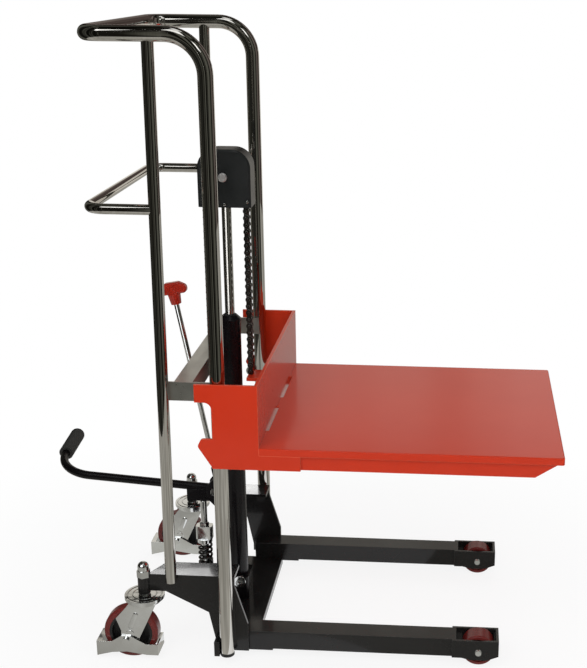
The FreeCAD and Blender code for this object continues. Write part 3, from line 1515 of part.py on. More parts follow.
def make_pump_block():
    body = new_body("pump")
    rear = behind("dims.block_behind")
    outline = add_rectangle(new_sketch(body, "XY_Plane", "places.base_top"),
                            (rear, "-dims.block_half_width"),
                            (ahead("dims.block_ahead"), "dims.block_half_width"))
    document.recompute()
    feature = pad(body, outline, "dims.block_height")
    round_corners(body, feature, outline, (0, 1, 2, 3), "dims.block_corner_radius")
    plunger = behind("dims.plunger_behind")
    barrel = add_circle(new_sketch(body, "XY_Plane", "places.block_top"), plunger, "0",
                        "dims.barrel_od / 2")
    document.recompute()
    pad(body, barrel, "dims.barrel_height")
    bore = add_circle(new_sketch(body, "XY_Plane", "places.barrel_top"), plunger, "0",
                      "dims.plunger_d / 2 + dims.shaft_play")
    document.recompute()
    pocket(body, bore, "dims.plunger_bore_depth")
    keep(body, "pump_block")


def make_plunger():
    x = behind("dims.plunger_behind")
    rod = "dims.plunger_d / 2"
    cap = "dims.plunger_cap_od / 2"
    foot = "places.barrel_top - dims.plunger_engagement"
    body = turned("plunger", [("0", foot), (rod, foot), (rod, "places.cap_bottom"),
                              (cap, "places.cap_bottom"), (cap, "places.cap_top"),
                              ("0", "places.cap_top")])
    outline = add_rectangle(new_sketch(body, "XY_Plane", "places.cap_top"),
                            ("-dims.clevis_length / 2", "-dims.clevis_width / 2"),
                            ("dims.clevis_length / 2", "dims.clevis_width / 2"))
    document.recompute()
    feature = pad(body, outline, "dims.clevis_height")
    round_corners(body, feature, outline, (0, 1, 2, 3), "dims.clevis_round")
    keep(place(body, x), "pump_plunger")
    radius = "dims.push_rod_d / 2"
    rod = turned("pusher", [("0", "places.clevis_top"), (radius, "places.clevis_top"),
                            (radius, "places.push_rod_top"), ("0", "places.push_rod_top")])
    round_rims(rod, rod.Tip, [(size("push_rod_d") / 2, size("push_rod_top"))],
               "%s * %s" % (ROD_DOME_SHARE, radius))
    keep(place(rod, x), "push_rod")


def arc_between(start, tangent, end):
    """The arc from a start point, along a tangent there, to an end point."""
    chord = end - start
    lean = tangent.getAngle(chord)
    apex = start + tangent * (chord.Length / (2 * math.cos(lean)))
    middle = (start + end) * 0.5
    rise = (apex - middle).normalize() * (chord.Length / 2 * math.tan(lean / 2))
    return Part.Arc(start, middle + rise, end)


def make_spring():
    wire = size("spring_wire")
    radius = (size("spring_od") - wire) / 2
    low = size("barrel_top") + wire / 2 + size("slide_gap")
    high = size("cap_bottom") - wire / 2 - size("slide_gap")
    slope = (high - low) / (2 * math.pi * SPRING_TURNS * radius + 2 * wire)
    rise = slope * wire
    quarters = round(4 * SPRING_TURNS)
    spots, tangents = [], []
    for step in range(quarters + 1):
        angle = math.pi / 2 * step
        height = low + rise + (high - low - 2 * rise) * step / quarters
        spots.append(FreeCAD.Vector(radius * math.cos(angle), radius * math.sin(angle), height))
        ahead_of = FreeCAD.Vector(-math.sin(angle), math.cos(angle), slope)
        tangents.append(ahead_of.normalize())
    curves = [Part.LineSegment(spots[0] - tangents[0] * wire, spots[0])]
    for step in range(quarters):
        first, last = spots[step], spots[step + 1]
        out, back = tangents[step], tangents[step + 1]
        across = last - first
        both = out + back
        spread = 2 * (1 - out.dot(back))
        along = across.dot(both)
        reach = (math.sqrt(along ** 2 + spread * across.dot(across)) - along) / spread
        meeting = (first + out * reach + last - back * reach) * 0.5
        curves.append(arc_between(first, out, meeting))
        turning = (last - back * reach - first - out * reach).normalize()
        curves.append(arc_between(meeting, turning, last))
    curves.append(Part.LineSegment(spots[-1], spots[-1] + tangents[-1] * wire))
    spine = Part.Wire([curve.toShape() for curve in curves])
    mouth = Part.Circle(spots[0] - tangents[0] * wire, tangents[0], wire / 2)
    shell = Part.BRepOffsetAPI.MakePipeShell(spine)
    shell.add(Part.Wire([mouth.toShape()]))
    shell.build()
    shell.makeSolid()
    item = document.addObject("Part::Feature", "spring")
    item.Shape = shell.shape()
    place(item, behind("dims.plunger_behind"))
    keep(item, "pump_spring")
    print("pump spring: least gap to itself %.2f" % self_gap(spine, wire))


def self_gap(spine, wire):
    """Least clear gap between turns, on points of the spine over half a turn apart."""
    per_turn = 48
    points = spine.discretize(Number=round(per_turn * SPRING_TURNS) + 1)
    apart = per_turn // 2
    least = min((points[one] - points[other]).Length
                for one in range(len(points))
                for other in range(one + apart, len(points)))
    return least - wire


def make_bracket():
    front = behind("dims.bracket_front_behind")
    foot = behind("dims.bracket_foot_behind")
    rear = behind("dims.bracket_rear_behind")
    web = front + " - dims.bracket_wall"
    half = "dims.bracket_half_width"
    inner = "dims.bracket_half_width - dims.bracket_wall"
    body = plate("bracket", "XZ_Plane",
                 [(web, "places.block_top"), (front, "places.block_top"),
                  (front, "places.bracket_top"), (web, "places.bracket_top")],
                 "2 * " + half, symmetric=True)
    cheek = [(front, "places.block_top"), (front, "places.bracket_top"),
             (behind("dims.bracket_top_behind"), "places.bracket_top"),
             (rear, "places.bracket_shoulder"), (rear, "dims.bracket_jaw_height"),
             (foot, "places.bracket_throat"), (foot, "places.block_top")]
    for side, sign in SIDES:
        pad_layer(body, cheek, sign, inner, half, [((3, 4), "dims.bracket_corner_radius")])
    cross_hole(body, behind("dims.pivot_behind"), "places.pivot_height",
               "dims.pivot_pin_d / 2 + dims.slide_gap", "4 * " + half)
    boss_x = behind("dims.release_foot_behind")
    top = "places.release_foot + dims.valve_seat_depth"
    boss = cylinder("valve_boss", "dims.valve_od / 2", "dims.valve_length")
    seat = cylinder("valve_seat", "dims.release_rod_d / 2 + dims.shaft_play",
                    "dims.valve_seat_depth + dims.overrun")
    drop = "(dims.valve_length - dims.valve_seat_depth)"
    place(boss, "%s + places.release_lean * %s" % (boss_x, drop), "dims.release_side",
          "%s - dims.valve_length" % top, Y_AXIS, "places.release_angle")
    place(seat, boss_x, "dims.release_side", "places.release_foot", Y_AXIS,
          "places.release_angle")
    keep(cut("bracket_seat", fuse("bracket_boss", [body, boss]), seat), "pump_bracket")
    pin = cylinder("pivot_pin", "dims.pivot_pin_d / 2", "2 * (%s + dims.pivot_pin_proud)" % half)
    place(pin, "places.pivot_x", "%s + dims.pivot_pin_proud" % half, "places.pivot_height",
          X_AXIS, "90")
    keep(pin, "pedal_pivot_pin")


def make_pedal():
    path = [("zero", "zero"),
            (("pedal_straight", "zero"), None),
            (("pedal_end", "pedal_bend_side"), ("pedal_straight", "pedal_bend_side")),
            (("pedal_end", "pedal_tip"), None)]
    tube = bent_tube("pedal_tube", "XY_Plane", path, "dims.pedal_bend_radius", "YZ_Plane",
                     ("0", "0"), "dims.pedal_tube_od / 2",
                     "dims.pedal_tube_od / 2 - dims.pedal_tube_wall")
    hinge = ("placement(vector(places.pivot_x; 0; places.pivot_height); rotation(vector(0; 1; 0);"
             " places.pedal_angle * 1 deg) * rotation(vector(1; 0; 0); %s deg))" % PEDAL_TILT)
    tube.setExpression("Placement", hinge)
    hub = cylinder("pedal_hub", "dims.pedal_hub_od / 2", "dims.pedal_hub_width")
    place(hub, "places.pivot_x", "dims.pedal_hub_width / 2", "places.pivot_height", X_AXIS, "90")
    shoe = block("pedal_shoe", "dims.pedal_block_behind - dims.pedal_block_front_behind",
                 "dims.pedal_block_width", "places.pivot_height - places.pedal_block_bottom")
    place(shoe, behind("dims.pedal_block_behind"), "-dims.pedal_block_width / 2",
          "places.pedal_block_bottom")
    eye = cylinder("pedal_eye", "dims.pivot_pin_d / 2 + dims.pin_play",
                   "dims.pedal_hub_width + 2 * dims.overrun")
    place(eye, "places.pivot_x", "dims.pedal_hub_width / 2 + dims.overrun", "places.pivot_height",
          X_AXIS, "90")
    keep(cut("pedal", fuse("pedal_weldment", [tube, hub, shoe]), eye), "foot_pedal")
    bore = "dims.pedal_tube_od / 2 + dims.slide_gap"
    outside = "dims.grip_od / 2"
    depth = "places.grip_length - dims.grip_end_wall"
    grip = turned("grip", [(bore, "0"), (outside, "0"), (outside, "places.grip_length"),
                           ("0", "places.grip_length"), ("0", depth), (bore, depth)])
    edge = size("grip_od") / 2
    round_rims(grip, grip.Tip, [(edge, size("grip_length"))], "dims.grip_round")
    grip.setExpression("Placement", hinge + " * placement(vector(places.pedal_end;"
                       " places.grip_start; 0); rotation(vector(1; 0; 0); -90 deg))")
    keep(grip, "pedal_grip")


# Release rod and knob

def make_release():
    rod = cylinder("release", "dims.release_rod_d / 2", "places.release_length")
    place(rod, behind("dims.release_foot_behind"), "dims.release_side",
          "places.release_foot", Y_AXIS, "places.release_angle")
    keep(rod, "release_rod")
    hub = "dims.knob_hub_d / 2"
    low = "-dims.knob_socket_depth"
    under = "dims.knob_hub_length - dims.knob_socket_depth - dims.knob_bar_height / 2"
    high = under + " + dims.knob_bar_height"
    shoulder = high + " - dims.knob_shoulder_drop"
    end = "dims.knob_bar_length / 2"
    crown = "dims.knob_crown_half"
    knob = plate("knob", "XZ_Plane",
                 [("-" + end, under), (end, under), (end, shoulder), (crown, high),
                  ("-" + crown, high), ("-" + end, shoulder)],
                 "dims.knob_bar_width", symmetric=True,
                 rounded=[((0, 1, 2, 3, 4, 5), "dims.knob_corner_round")])
    bar = knob.Tip
    face = size("knob_bar_width") / 2
    rim = []
    for number, edge in enumerate(bar.Shape.Edges, start=1):
        ends = [vertex.Point for vertex in edge.Vertexes]
        if all(same(abs(point.y), face) for point in ends) and same(edge.BoundBox.YLength, 0):
            rim.append("Edge%d" % number)
    fillet = knob.newObject("PartDesign::Fillet", "soft_edge")
    fillet.Base = (bar, rim)
    fillet.setExpression("Radius", "dims.knob_edge_round")
    document.recompute()
    stalk = turned("knob_stalk", [("0", low), (hub, low), ("dims.knob_hub_top_d / 2", under),
                                  (hub, high + " - dims.knob_shoulder_drop"),
                                  ("0", high + " - dims.knob_shoulder_drop")])
    socket = cylinder("knob_socket", "dims.release_rod_d / 2 + dims.slide_gap",
                      "dims.knob_socket_depth + dims.overrun")
    place(socket, z="-dims.knob_socket_depth - dims.overrun")
    handle = cut("release_handle", fuse("knob_blank", [knob, stalk]), socket)
    place(handle, behind("dims.release_head_behind"), "dims.release_side",
          "dims.release_head_height", Y_AXIS, "places.release_angle")
    keep(handle, "release_knob")


def check_document():
    """Stop at an object that failed, or a node without a sound shape."""
    document.recompute()
    for item in document.Objects:
        if "Invalid" in item.State or "Error" in item.State:
            raise ValueError("%s: %s" % (item.Label, item.State))
    for label, item in nodes.items():
        if item.Shape.isNull() or not item.Shape.isValid():
            raise ValueError("%s: no sound shape" % label)


def export_nodes():
    os.makedirs("parts", exist_ok=True)
    for label, item in nodes.items():
        item.Shape.exportStep("parts/%s.step" % label)


for make in (make_mast, make_push_bar, make_posts, make_handle, make_brace, make_side_plates,
             make_legs, make_wheel_forks, make_front_wheels, make_base_plate, make_casters,
             make_cylinder, make_head, make_chain, make_anchors, make_carriage_plates, make_tray,
             make_rails, make_guide_rollers, make_pump_block, make_plunger, make_spring,
             make_bracket, make_pedal, make_release):
    make()

check_document()
export_nodes()
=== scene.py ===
import bmesh
import bpy
import json
import math
from mathutils import Matrix, Vector


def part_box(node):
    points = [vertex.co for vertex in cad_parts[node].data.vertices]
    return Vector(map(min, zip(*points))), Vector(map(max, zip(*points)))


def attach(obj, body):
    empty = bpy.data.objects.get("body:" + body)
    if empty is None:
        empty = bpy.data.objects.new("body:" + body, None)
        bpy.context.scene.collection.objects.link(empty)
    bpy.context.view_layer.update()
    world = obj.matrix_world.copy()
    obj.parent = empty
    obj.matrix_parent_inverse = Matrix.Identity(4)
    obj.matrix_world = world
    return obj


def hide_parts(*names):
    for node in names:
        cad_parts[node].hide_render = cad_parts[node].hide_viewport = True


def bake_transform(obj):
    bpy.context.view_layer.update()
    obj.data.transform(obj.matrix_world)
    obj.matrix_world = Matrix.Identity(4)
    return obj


# Hand platform stacker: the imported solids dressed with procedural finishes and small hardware.
# Metres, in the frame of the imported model: X forward, Y to the operator's left, Z up.

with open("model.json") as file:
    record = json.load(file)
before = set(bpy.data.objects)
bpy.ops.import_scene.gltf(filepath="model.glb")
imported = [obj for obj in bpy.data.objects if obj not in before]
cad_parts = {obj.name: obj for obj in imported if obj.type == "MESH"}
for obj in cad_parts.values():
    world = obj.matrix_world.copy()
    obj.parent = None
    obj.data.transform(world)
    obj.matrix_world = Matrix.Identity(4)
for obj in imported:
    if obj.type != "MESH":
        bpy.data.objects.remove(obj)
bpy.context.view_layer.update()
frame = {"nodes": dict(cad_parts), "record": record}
nodes = frame["nodes"]
record = frame["record"]
slot_of = {part["node"]: part["material_slot"] for part in record["subparts"]}

MM = 0.001


# Camera at the photograph's viewpoint

PHOTO_WIDTH, PHOTO_HEIGHT = 587, 668
PHOTO_FOCAL_PX = 1185.3
PHOTO_CENTRE_X = 393
CAMERA_PLACE = (0.3849, -2.6054, 1.5262)
CAMERA_RIGHT = (0.99805, 0.06196, 0.00765)
CAMERA_UP = (-0.02572, 0.29641, 0.95472)
SENSOR = 36
VIEW_REACH = 60


def add_camera():
    data = bpy.data.cameras.new("camera")
    data.sensor_width = SENSOR
    data.lens = PHOTO_FOCAL_PX * SENSOR / PHOTO_HEIGHT
    data.shift_x = (PHOTO_WIDTH / 2 - PHOTO_CENTRE_X) / PHOTO_HEIGHT
    data.clip_end = VIEW_REACH
    camera = bpy.data.objects.new("camera", data)
    right = Vector(CAMERA_RIGHT)
    up = Vector(CAMERA_UP)
    back = right.cross(up)
    turn = Matrix((right, up, back)).transposed()
    camera.matrix_world = Matrix.Translation(CAMERA_PLACE) @ turn.to_4x4()
    bpy.context.collection.objects.link(camera)
    bpy.context.scene.camera = camera


# Node helpers for the procedural finishes

NOISE_LOW, NOISE_HIGH = 0.3, 0.7
BEVEL_SAMPLES = 6
EDGE_FLAT, EDGE_TURNED = 0.99, 0.8


def new_material(name):
    material = bpy.data.materials.new(name)
    material.use_nodes = True
    tree = material.node_tree
    return material, tree, tree.nodes["Principled BSDF"]


def coordinates(tree, stretch=(1, 1, 1)):
    """Object coordinates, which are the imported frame's, with a stretch along each axis."""
    source = tree.nodes.new("ShaderNodeTexCoord")
    mapping = tree.nodes.new("ShaderNodeMapping")
    mapping.inputs["Scale"].default_value = stretch
    tree.links.new(source.outputs["Object"], mapping.inputs["Vector"])
    return mapping.outputs["Vector"]


def noise(tree, vector, scale, detail=4, roughness=0.55):
    node = tree.nodes.new("ShaderNodeTexNoise")
    node.inputs["Scale"].default_value = scale
    node.inputs["Detail"].default_value = detail
    node.inputs["Roughness"].default_value = roughness
    tree.links.new(vector, node.inputs["Vector"])
    return node.outputs["Fac"]


def ramp(tree, factor, stops):
    """A colour ramp of (position, colour) stops."""
    node = tree.nodes.new("ShaderNodeValToRGB")
    elements = node.color_ramp.elements
    while len(elements) < len(stops):
        elements.new(1)
    for element, (position, colour) in zip(elements, stops):
        element.position = position
        element.color = (*colour, 1)
    tree.links.new(factor, node.inputs["Fac"])
    return node.outputs["Color"]


def remap(tree, factor, low, high):
    """Spread the usual range of a noise over low to high."""
    node = tree.nodes.new("ShaderNodeMapRange")
    node.inputs["From Min"].default_value = NOISE_LOW
    node.inputs["From Max"].default_value = NOISE_HIGH
    node.inputs["To Min"].default_value = low
    node.inputs["To Max"].default_value = high
    tree.links.new(factor, node.inputs["Value"])
    return node.outputs["Result"]


def soft_edges(tree, radius):
    """A normal that rounds the sharp edges of sheet and bar."""
    node = tree.nodes.new("ShaderNodeBevel")
    node.samples = BEVEL_SAMPLES
    node.inputs["Radius"].default_value = radius
    return node.outputs["Normal"]


def bump(tree, height, strength, distance, normal=None):
    node = tree.nodes.new("ShaderNodeBump")
    node.inputs["Strength"].default_value = strength
    node.inputs["Distance"].default_value = distance
    tree.links.new(height, node.inputs["Height"])
    if normal is not None:
        tree.links.new(normal, node.inputs["Normal"])
    return node.outputs["Normal"]


def edge_highlight_mask(tree, radius):
    """A factor that rises along the edges, where a lighter colour paints a highlight on the corners.
    """
    soft = tree.nodes.new("ShaderNodeBevel")
    soft.samples = BEVEL_SAMPLES
    soft.inputs["Radius"].default_value = radius
    geometry = tree.nodes.new("ShaderNodeNewGeometry")
    facing = tree.nodes.new("ShaderNodeVectorMath")
    facing.operation = "DOT_PRODUCT"
    tree.links.new(soft.outputs["Normal"], facing.inputs[0])
    tree.links.new(geometry.outputs["Normal"], facing.inputs[1])
    spread = tree.nodes.new("ShaderNodeMapRange")
    spread.inputs["From Min"].default_value = EDGE_FLAT
    spread.inputs["From Max"].default_value = EDGE_TURNED
    tree.links.new(facing.outputs["Value"], spread.inputs["Value"])
    return spread.outputs["Result"]


def mix_colour(tree, factor, first, second):
    """A mix of two colour outputs, or of an output and a fixed colour."""
    node = tree.nodes.new("ShaderNodeMix")
    node.data_type = "RGBA"
    tree.links.new(factor, node.inputs["Factor"])
    for value, place in ((first, node.inputs["A"]), (second, node.inputs["B"])):
        if isinstance(value, tuple):
            place.default_value = (*value, 1)
        else:
            tree.links.new(value, place)
    return node.outputs["Result"]


# Finishes

COAT_ROUGHNESS = 0.06


def paint(name, dark, light, roughness, gloss, coat, peel=0.02, edge=0.9 * MM, edge_highlight=None):
    """Sprayed paint: faint tone drift at random, orange peel, smears in the gloss, softened edges
    and, where an edge colour is given, a painted highlight along them.
    """
    material, tree, shader = new_material(name)
    place = coordinates(tree)
    drift = noise(tree, place, scale=5, detail=5)
    fine = noise(tree, place, scale=26)
    colour = ramp(tree, drift, [(0.32, dark), (0.68, light)])
    # the edges take a lighter colour: a painted highlight
    if edge_highlight is not None:
        colour = mix_colour(tree, edge_highlight_mask(tree, edge), colour, edge_highlight)
    tree.links.new(colour, shader.inputs["Base Color"])
    tree.links.new(remap(tree, fine, *roughness), shader.inputs["Roughness"])
    shader.inputs["Specular IOR Level"].default_value = gloss
    shader.inputs["Coat Weight"].default_value = coat
    shader.inputs["Coat Roughness"].default_value = COAT_ROUGHNESS
    skin = noise(tree, place, scale=180, detail=2)
    normal = bump(tree, skin, strength=peel, distance=0.2 * MM, normal=soft_edges(tree, edge))
    tree.links.new(normal, shader.inputs["Normal"])
    return material


def plate_metal(name, dark, light, roughness, grain=(1, 1, 1), scale=40, edge=0.5 * MM, edge_highlight=None,
                ripple=0, clouds=9):
    """Bare or plated metal: cloudy tone, grain along one axis, pressing ripples, softened edges and,
    where an edge colour is given, a painted highlight along them.
    """
    material, tree, shader = new_material(name)
    shader.inputs["Metallic"].default_value = 1
    place = coordinates(tree, grain)
    cloud = noise(tree, coordinates(tree), clouds, detail=5)
    lines = noise(tree, place, scale, detail=5, roughness=0.65)
    colour = ramp(tree, cloud, [(0.36, dark), (0.64, light)])
    # the edges take a lighter colour: a painted highlight
    if edge_highlight is not None:
        colour = mix_colour(tree, edge_highlight_mask(tree, edge), colour, edge_highlight)
    tree.links.new(colour, shader.inputs["Base Color"])
    tree.links.new(remap(tree, lines, *roughness), shader.inputs["Roughness"])
    normal = soft_edges(tree, edge)
    if ripple:
        waves = noise(tree, coordinates(tree), scale=20, detail=2)
        normal = bump(tree, waves, strength=ripple, distance=8 * MM, normal=normal)
    normal = bump(tree, lines, strength=0.08, distance=0.1 * MM, normal=normal)
    tree.links.new(normal, shader.inputs["Normal"])
    return material


def moulded(name, dark, light, roughness, gloss=0.35, stipple=0.12, scale=500, edge=0.8 * MM):
    """Moulded plastic or rubber with a fine stipple."""
    material, tree, shader = new_material(name)
    place = coordinates(tree)
    drift = noise(tree, place, scale=12)
    grain = noise(tree, place, scale, detail=2)
    tree.links.new(ramp(tree, drift, [(0.3, dark), (0.7, light)]), shader.inputs["Base Color"])
    tree.links.new(remap(tree, drift, *roughness), shader.inputs["Roughness"])
    shader.inputs["Specular IOR Level"].default_value = gloss
    normal = bump(tree, grain, strength=stipple, distance=0.2 * MM, normal=soft_edges(tree, edge))
    tree.links.new(normal, shader.inputs["Normal"])
    return material


def chrome(name, roughness):
    """Bright chrome plate with a warm cast and long polishing streaks."""
    material, tree, shader = new_material(name)
    shader.inputs["Metallic"].default_value = 1
    streak = noise(tree, coordinates(tree, (60, 60, 1.2)), scale=3, detail=6, roughness=0.6)
    cloud = noise(tree, coordinates(tree), scale=14, detail=3)
    tone = [(0.25, (0.52, 0.5, 0.46)), (0.55, (0.62, 0.61, 0.58)), (0.8, (0.7, 0.69, 0.67))]
    tree.links.new(ramp(tree, streak, tone), shader.inputs["Base Color"])
    tree.links.new(remap(tree, cloud, *roughness), shader.inputs["Roughness"])
    normal = bump(tree, streak, strength=0.02, distance=0.1 * MM)
    tree.links.new(normal, shader.inputs["Normal"])
    return material


def make_finishes():
    black = (0.0075, 0.0072, 0.007)
    # the lighter edge colours below paint highlights along the edges
    return {
        "chrome_tube": chrome("chrome_tube", (0.02, 0.05)),
        "chrome_rod": chrome("chrome_rod", (0.12, 0.16)),
        "plated_brace": plate_metal("plated_brace", (0.46, 0.46, 0.43), (0.6, 0.6, 0.57),
                                    (0.26, 0.36), grain=(1, 0.1, 1), scale=60),
        "black_frame": paint("black_frame", black, (0.012, 0.0115, 0.011), (0.16, 0.28),
                             gloss=0.22, coat=0.25, edge=1.4 * MM, edge_highlight=(0.07, 0.069, 0.066)),
        "black_pump": paint("black_pump", (0.003, 0.0025, 0.003), (0.006, 0.005, 0.006),
                            (0.2, 0.34), gloss=0.22, coat=0.1, edge_highlight=(0.025, 0.025, 0.025)),
        "red_paint": paint("red_paint", (0.54, 0.03, 0.0075), (0.565, 0.034, 0.009),
                           (0.16, 0.22), gloss=0.3, coat=0.12, peel=0.003, edge=1.3 * MM,
                           edge_highlight=(0.8, 0.19, 0.1)),
        "zinc": plate_metal("zinc", (0.66, 0.67, 0.66), (0.77, 0.79, 0.8), (0.06, 0.16), scale=70,
                            edge_highlight=(0.95, 0.95, 0.95), ripple=0.18, clouds=14),
        # a paler, rougher copy of zinc, a painted highlight on the sheave axle's end
        "pin_highlight": plate_metal("pin_highlight", (0.84, 0.84, 0.83), (0.92, 0.92, 0.91), (0.46, 0.56)),
        "caster_core_black": moulded("caster_core_black", black, (0.02, 0.02, 0.02), (0.4, 0.55)),
        "red_polyurethane": moulded("red_polyurethane", (0.1, 0.011, 0.01), (0.17, 0.02, 0.017),
                                    (0.2, 0.35), gloss=0.45, stipple=0.04, scale=300),
        "cover_black": moulded("cover_black", (0.009, 0.0105, 0.0105), (0.015, 0.0165, 0.0165),
                               (0.3, 0.42), gloss=0.4, stipple=0.1, scale=420),
        "oiled_steel": plate_metal("oiled_steel", (0.045, 0.043, 0.04), (0.1, 0.098, 0.092),
                                   (0.24, 0.4), scale=90, edge=0.7 * MM,
                                   edge_highlight=(0.75, 0.74, 0.72)),
        "roller_steel": plate_metal("roller_steel", (0.6, 0.6, 0.59), (0.75, 0.75, 0.73),
                                    (0.25, 0.4)),
        "grip_rubber": moulded("grip_rubber", (0.02, 0.02, 0.019), (0.034, 0.034, 0.032),
                               (0.5, 0.7), gloss=0.3, stipple=0.3),
        "cap_black": moulded("cap_black", black, (0.016, 0.016, 0.016), (0.5, 0.65)),
        "knob_red": moulded("knob_red", (0.32, 0.017, 0.008), (0.4, 0.024, 0.012), (0.08, 0.16),
                            gloss=0.55, stipple=0.02, scale=300),
        "spring_steel": plate_metal("spring_steel", (0.07, 0.07, 0.069), (0.15, 0.15, 0.147),
                                    (0.1, 0.2), scale=120, edge=0.2 * MM),
    }


finishes = make_finishes()
# nodes whose finish isn't the one of their slot: the sheave axle takes a paler, rougher copy of zinc
# that paints a highlight on its end
OWN_FINISH = {"sheave_axle": "pin_highlight"}


def dress_nodes():
    for name, item in nodes.items():
        for place in item.material_slots:
            place.material = finishes[OWN_FINISH.get(name, slot_of[name])]


# Still copies of the strands and the spring

def middle(node):
    """The centre of a node's box."""
    low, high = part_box(node)
    return (Vector(low) + Vector(high)) / 2


def stretched(node):
    """A still copy of a strand or spring that stands in for the part it hides."""
    piece = nodes[node].copy()
    piece.data = nodes[node].data.copy()
    piece.name = node + "_drawn"
    piece.parent = None
    piece.matrix_world = Matrix.Identity(4)
    for key in list(piece.keys()):
        del piece[key]
    bpy.context.collection.objects.link(piece)
    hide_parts(node)
    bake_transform(piece)


def add_strands():
    stretched("front_chain")
    stretched("rear_chain")
    stretched("pump_spring")


# Small hardware

SHARP = math.radians(32)
ROUND_SIDES = 40
SCREW_SIDES = 28
HEX_SIDES = 6
RING_STEPS = 36
# half the angle of a snap ring's opening, its ears' extra width in bands, and one over their length
RING_OPENING = 0.2
EAR_WIDTH = 1.5
EAR_SHARE = 6
RIB_STEPS = 24
RIB_SINK = 0.3 * MM


def revolve(mesh, profile, sides=ROUND_SIDES, closed=False):
    """Turn a profile of (radius, height) pairs about Z; a zero radius closes an end."""
    rows = []
    for radius, height in profile:
        count = sides if radius else 1
        row = []
        for step in range(count):
            angle = 2 * math.pi * step / sides
            row.append(mesh.verts.new((radius * math.cos(angle), radius * math.sin(angle), height)))
        rows.append(row)
    pairs = list(zip(rows, rows[1:]))
    if closed:
        pairs.append((rows[-1], rows[0]))
    for low, high in pairs:
        for step in range(sides):
            after = (step + 1) % sides
            corners = [low[step % len(low)], low[after % len(low)],
                       high[after % len(high)], high[step % len(high)]]
            mesh.faces.new(list(dict.fromkeys(corners)))


def settle(name, mesh, place, axis, body, slot):
    """Stand a mesh made about Z at a place, along an axis, as a piece that rides on a body."""
    bmesh.ops.recalc_face_normals(mesh, faces=mesh.faces)
    data = bpy.data.meshes.new(name)
    mesh.to_mesh(data)
    mesh.free()
    turn = Vector((0, 0, 1)).rotation_difference(Vector(axis)).to_matrix().to_4x4()
    data.transform(Matrix.Translation(place) @ turn)
    for face in data.polygons:
        face.use_smooth = True
    data.set_sharp_from_angle(angle=SHARP)
    data.materials.append(finishes[slot])
    item = bpy.data.objects.new(name, data)
    bpy.context.collection.objects.link(item)
    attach(item, body)


def hex_screw(name, place, axis, flats, body, slot="zinc"):
    """A washer, a chamfered hexagon head and the domed end of its screw."""
    mesh = bmesh.new()
    corner = flats / math.sqrt(3)
    washer, top = 0.13 * flats, 0.66 * flats
    revolve(mesh, [(0, 0), (1.02 * flats, 0), (1.02 * flats, 0.6 * washer),
                   (0.96 * flats, washer), (0, washer)])
    revolve(mesh, [(0, washer), (0.9 * corner, washer), (corner, 1.5 * washer),
                   (corner, 0.86 * top), (0.86 * corner, top), (0, top)],
            HEX_SIDES)
    revolve(mesh, [(0, top), (0.42 * corner, top), (0.4 * corner, 1.12 * top),
                   (0.25 * corner, 1.2 * top), (0, 1.22 * top)])
    settle(name, mesh, place, axis, body, slot)


def hex_nut(name, place, axis, flats, bore, height, body, slot="zinc"):
    """A nut with both rims chamfered, round a rod."""
    mesh = bmesh.new()
    corner = flats / math.sqrt(3)
    ease = 0.08 * flats
    revolve(mesh, [(bore, 0), (0.9 * corner, 0), (corner, ease), (corner, height - ease),
                   (0.9 * corner, height), (bore, height)], HEX_SIDES, closed=True)
    settle(name, mesh, place, axis, body, slot)


def pan_screw(name, place, axis, radius, body, slot="zinc"):
    """A domed screw head with a cross recess pressed into it."""
    mesh = bmesh.new()
    rise = 0.62 * radius
    revolve(mesh, [(0, 0), (radius, 0), (radius, 0.3 * rise), (0.86 * radius, 0.72 * rise),
                   (0.55 * radius, rise), (0.3 * radius, 0.98 * rise), (0.2 * radius, 0.5 * rise),
                   (0, 0.42 * rise)], SCREW_SIDES)
    settle(name, mesh, place, axis, body, slot)


def snap_ring(name, place, axis, bore, body, slot="zinc"):
    """An open spring ring on the end of an axle along Y, with its two ears on top."""
    mesh = bmesh.new()
    band = 0.34 * bore
    thick = 0.16 * bore
    upward = -math.copysign(math.pi / 2, axis[1])
    rows = []
    for step in range(RING_STEPS + 1):
        angle = upward + RING_OPENING + (2 * math.pi - 2 * RING_OPENING) * step / RING_STEPS
        from_end = min(step, RING_STEPS - step)
        ear = 1 + EAR_WIDTH * max(0, 1 - EAR_SHARE * from_end / RING_STEPS)
        row = []
        for radius, height in ((bore, 0), (bore + band * ear, 0), (bore + band * ear, thick),
                               (bore, thick)):
            row.append(mesh.verts.new((radius * math.cos(angle), radius * math.sin(angle), height)))
        rows.append(row)
    for low, high in zip(rows, rows[1:]):
        for k in range(4):
            mesh.faces.new((low[k], low[(k + 1) % 4], high[(k + 1) % 4], high[k]))
    mesh.faces.new(rows[0])
    mesh.faces.new(list(reversed(rows[-1])))
    settle(name, mesh, place, axis, body, slot)


def ridge(radius, top, width, rise):
    """The closed profile of one pressed ridge, sunk a little into its seat."""
    half = width / 2
    return [(radius - half, top - rise), (radius + half, top - rise), (radius + half, top),
            (radius + 0.5 * half, top + rise), (radius - 0.5 * half, top + rise),
            (radius - half, top)]


def ridges(name, place, rings, body, slot="zinc"):
    """Raised pressed ridges round a disc."""
    mesh = bmesh.new()
    for radius, width, rise in rings:
        revolve(mesh, ridge(radius, 0, width, rise), closed=True)
    settle(name, mesh, place, (0, 0, 1), body, slot)


def wiper_ring(name, place, bore, height, body, slot="cap_black"):
    """A rubber wiper with a raised lip, seated round a rod."""
    mesh = bmesh.new()
    revolve(mesh, [(bore, 0), (bore + 1.1 * height, 0), (bore + height, 0.5 * height),
                   (bore + 0.6 * height, 0.6 * height), (bore + 0.3 * height, height),
                   (bore, height)], closed=True)
    settle(name, mesh, place, (0, 0, 1), body, slot)


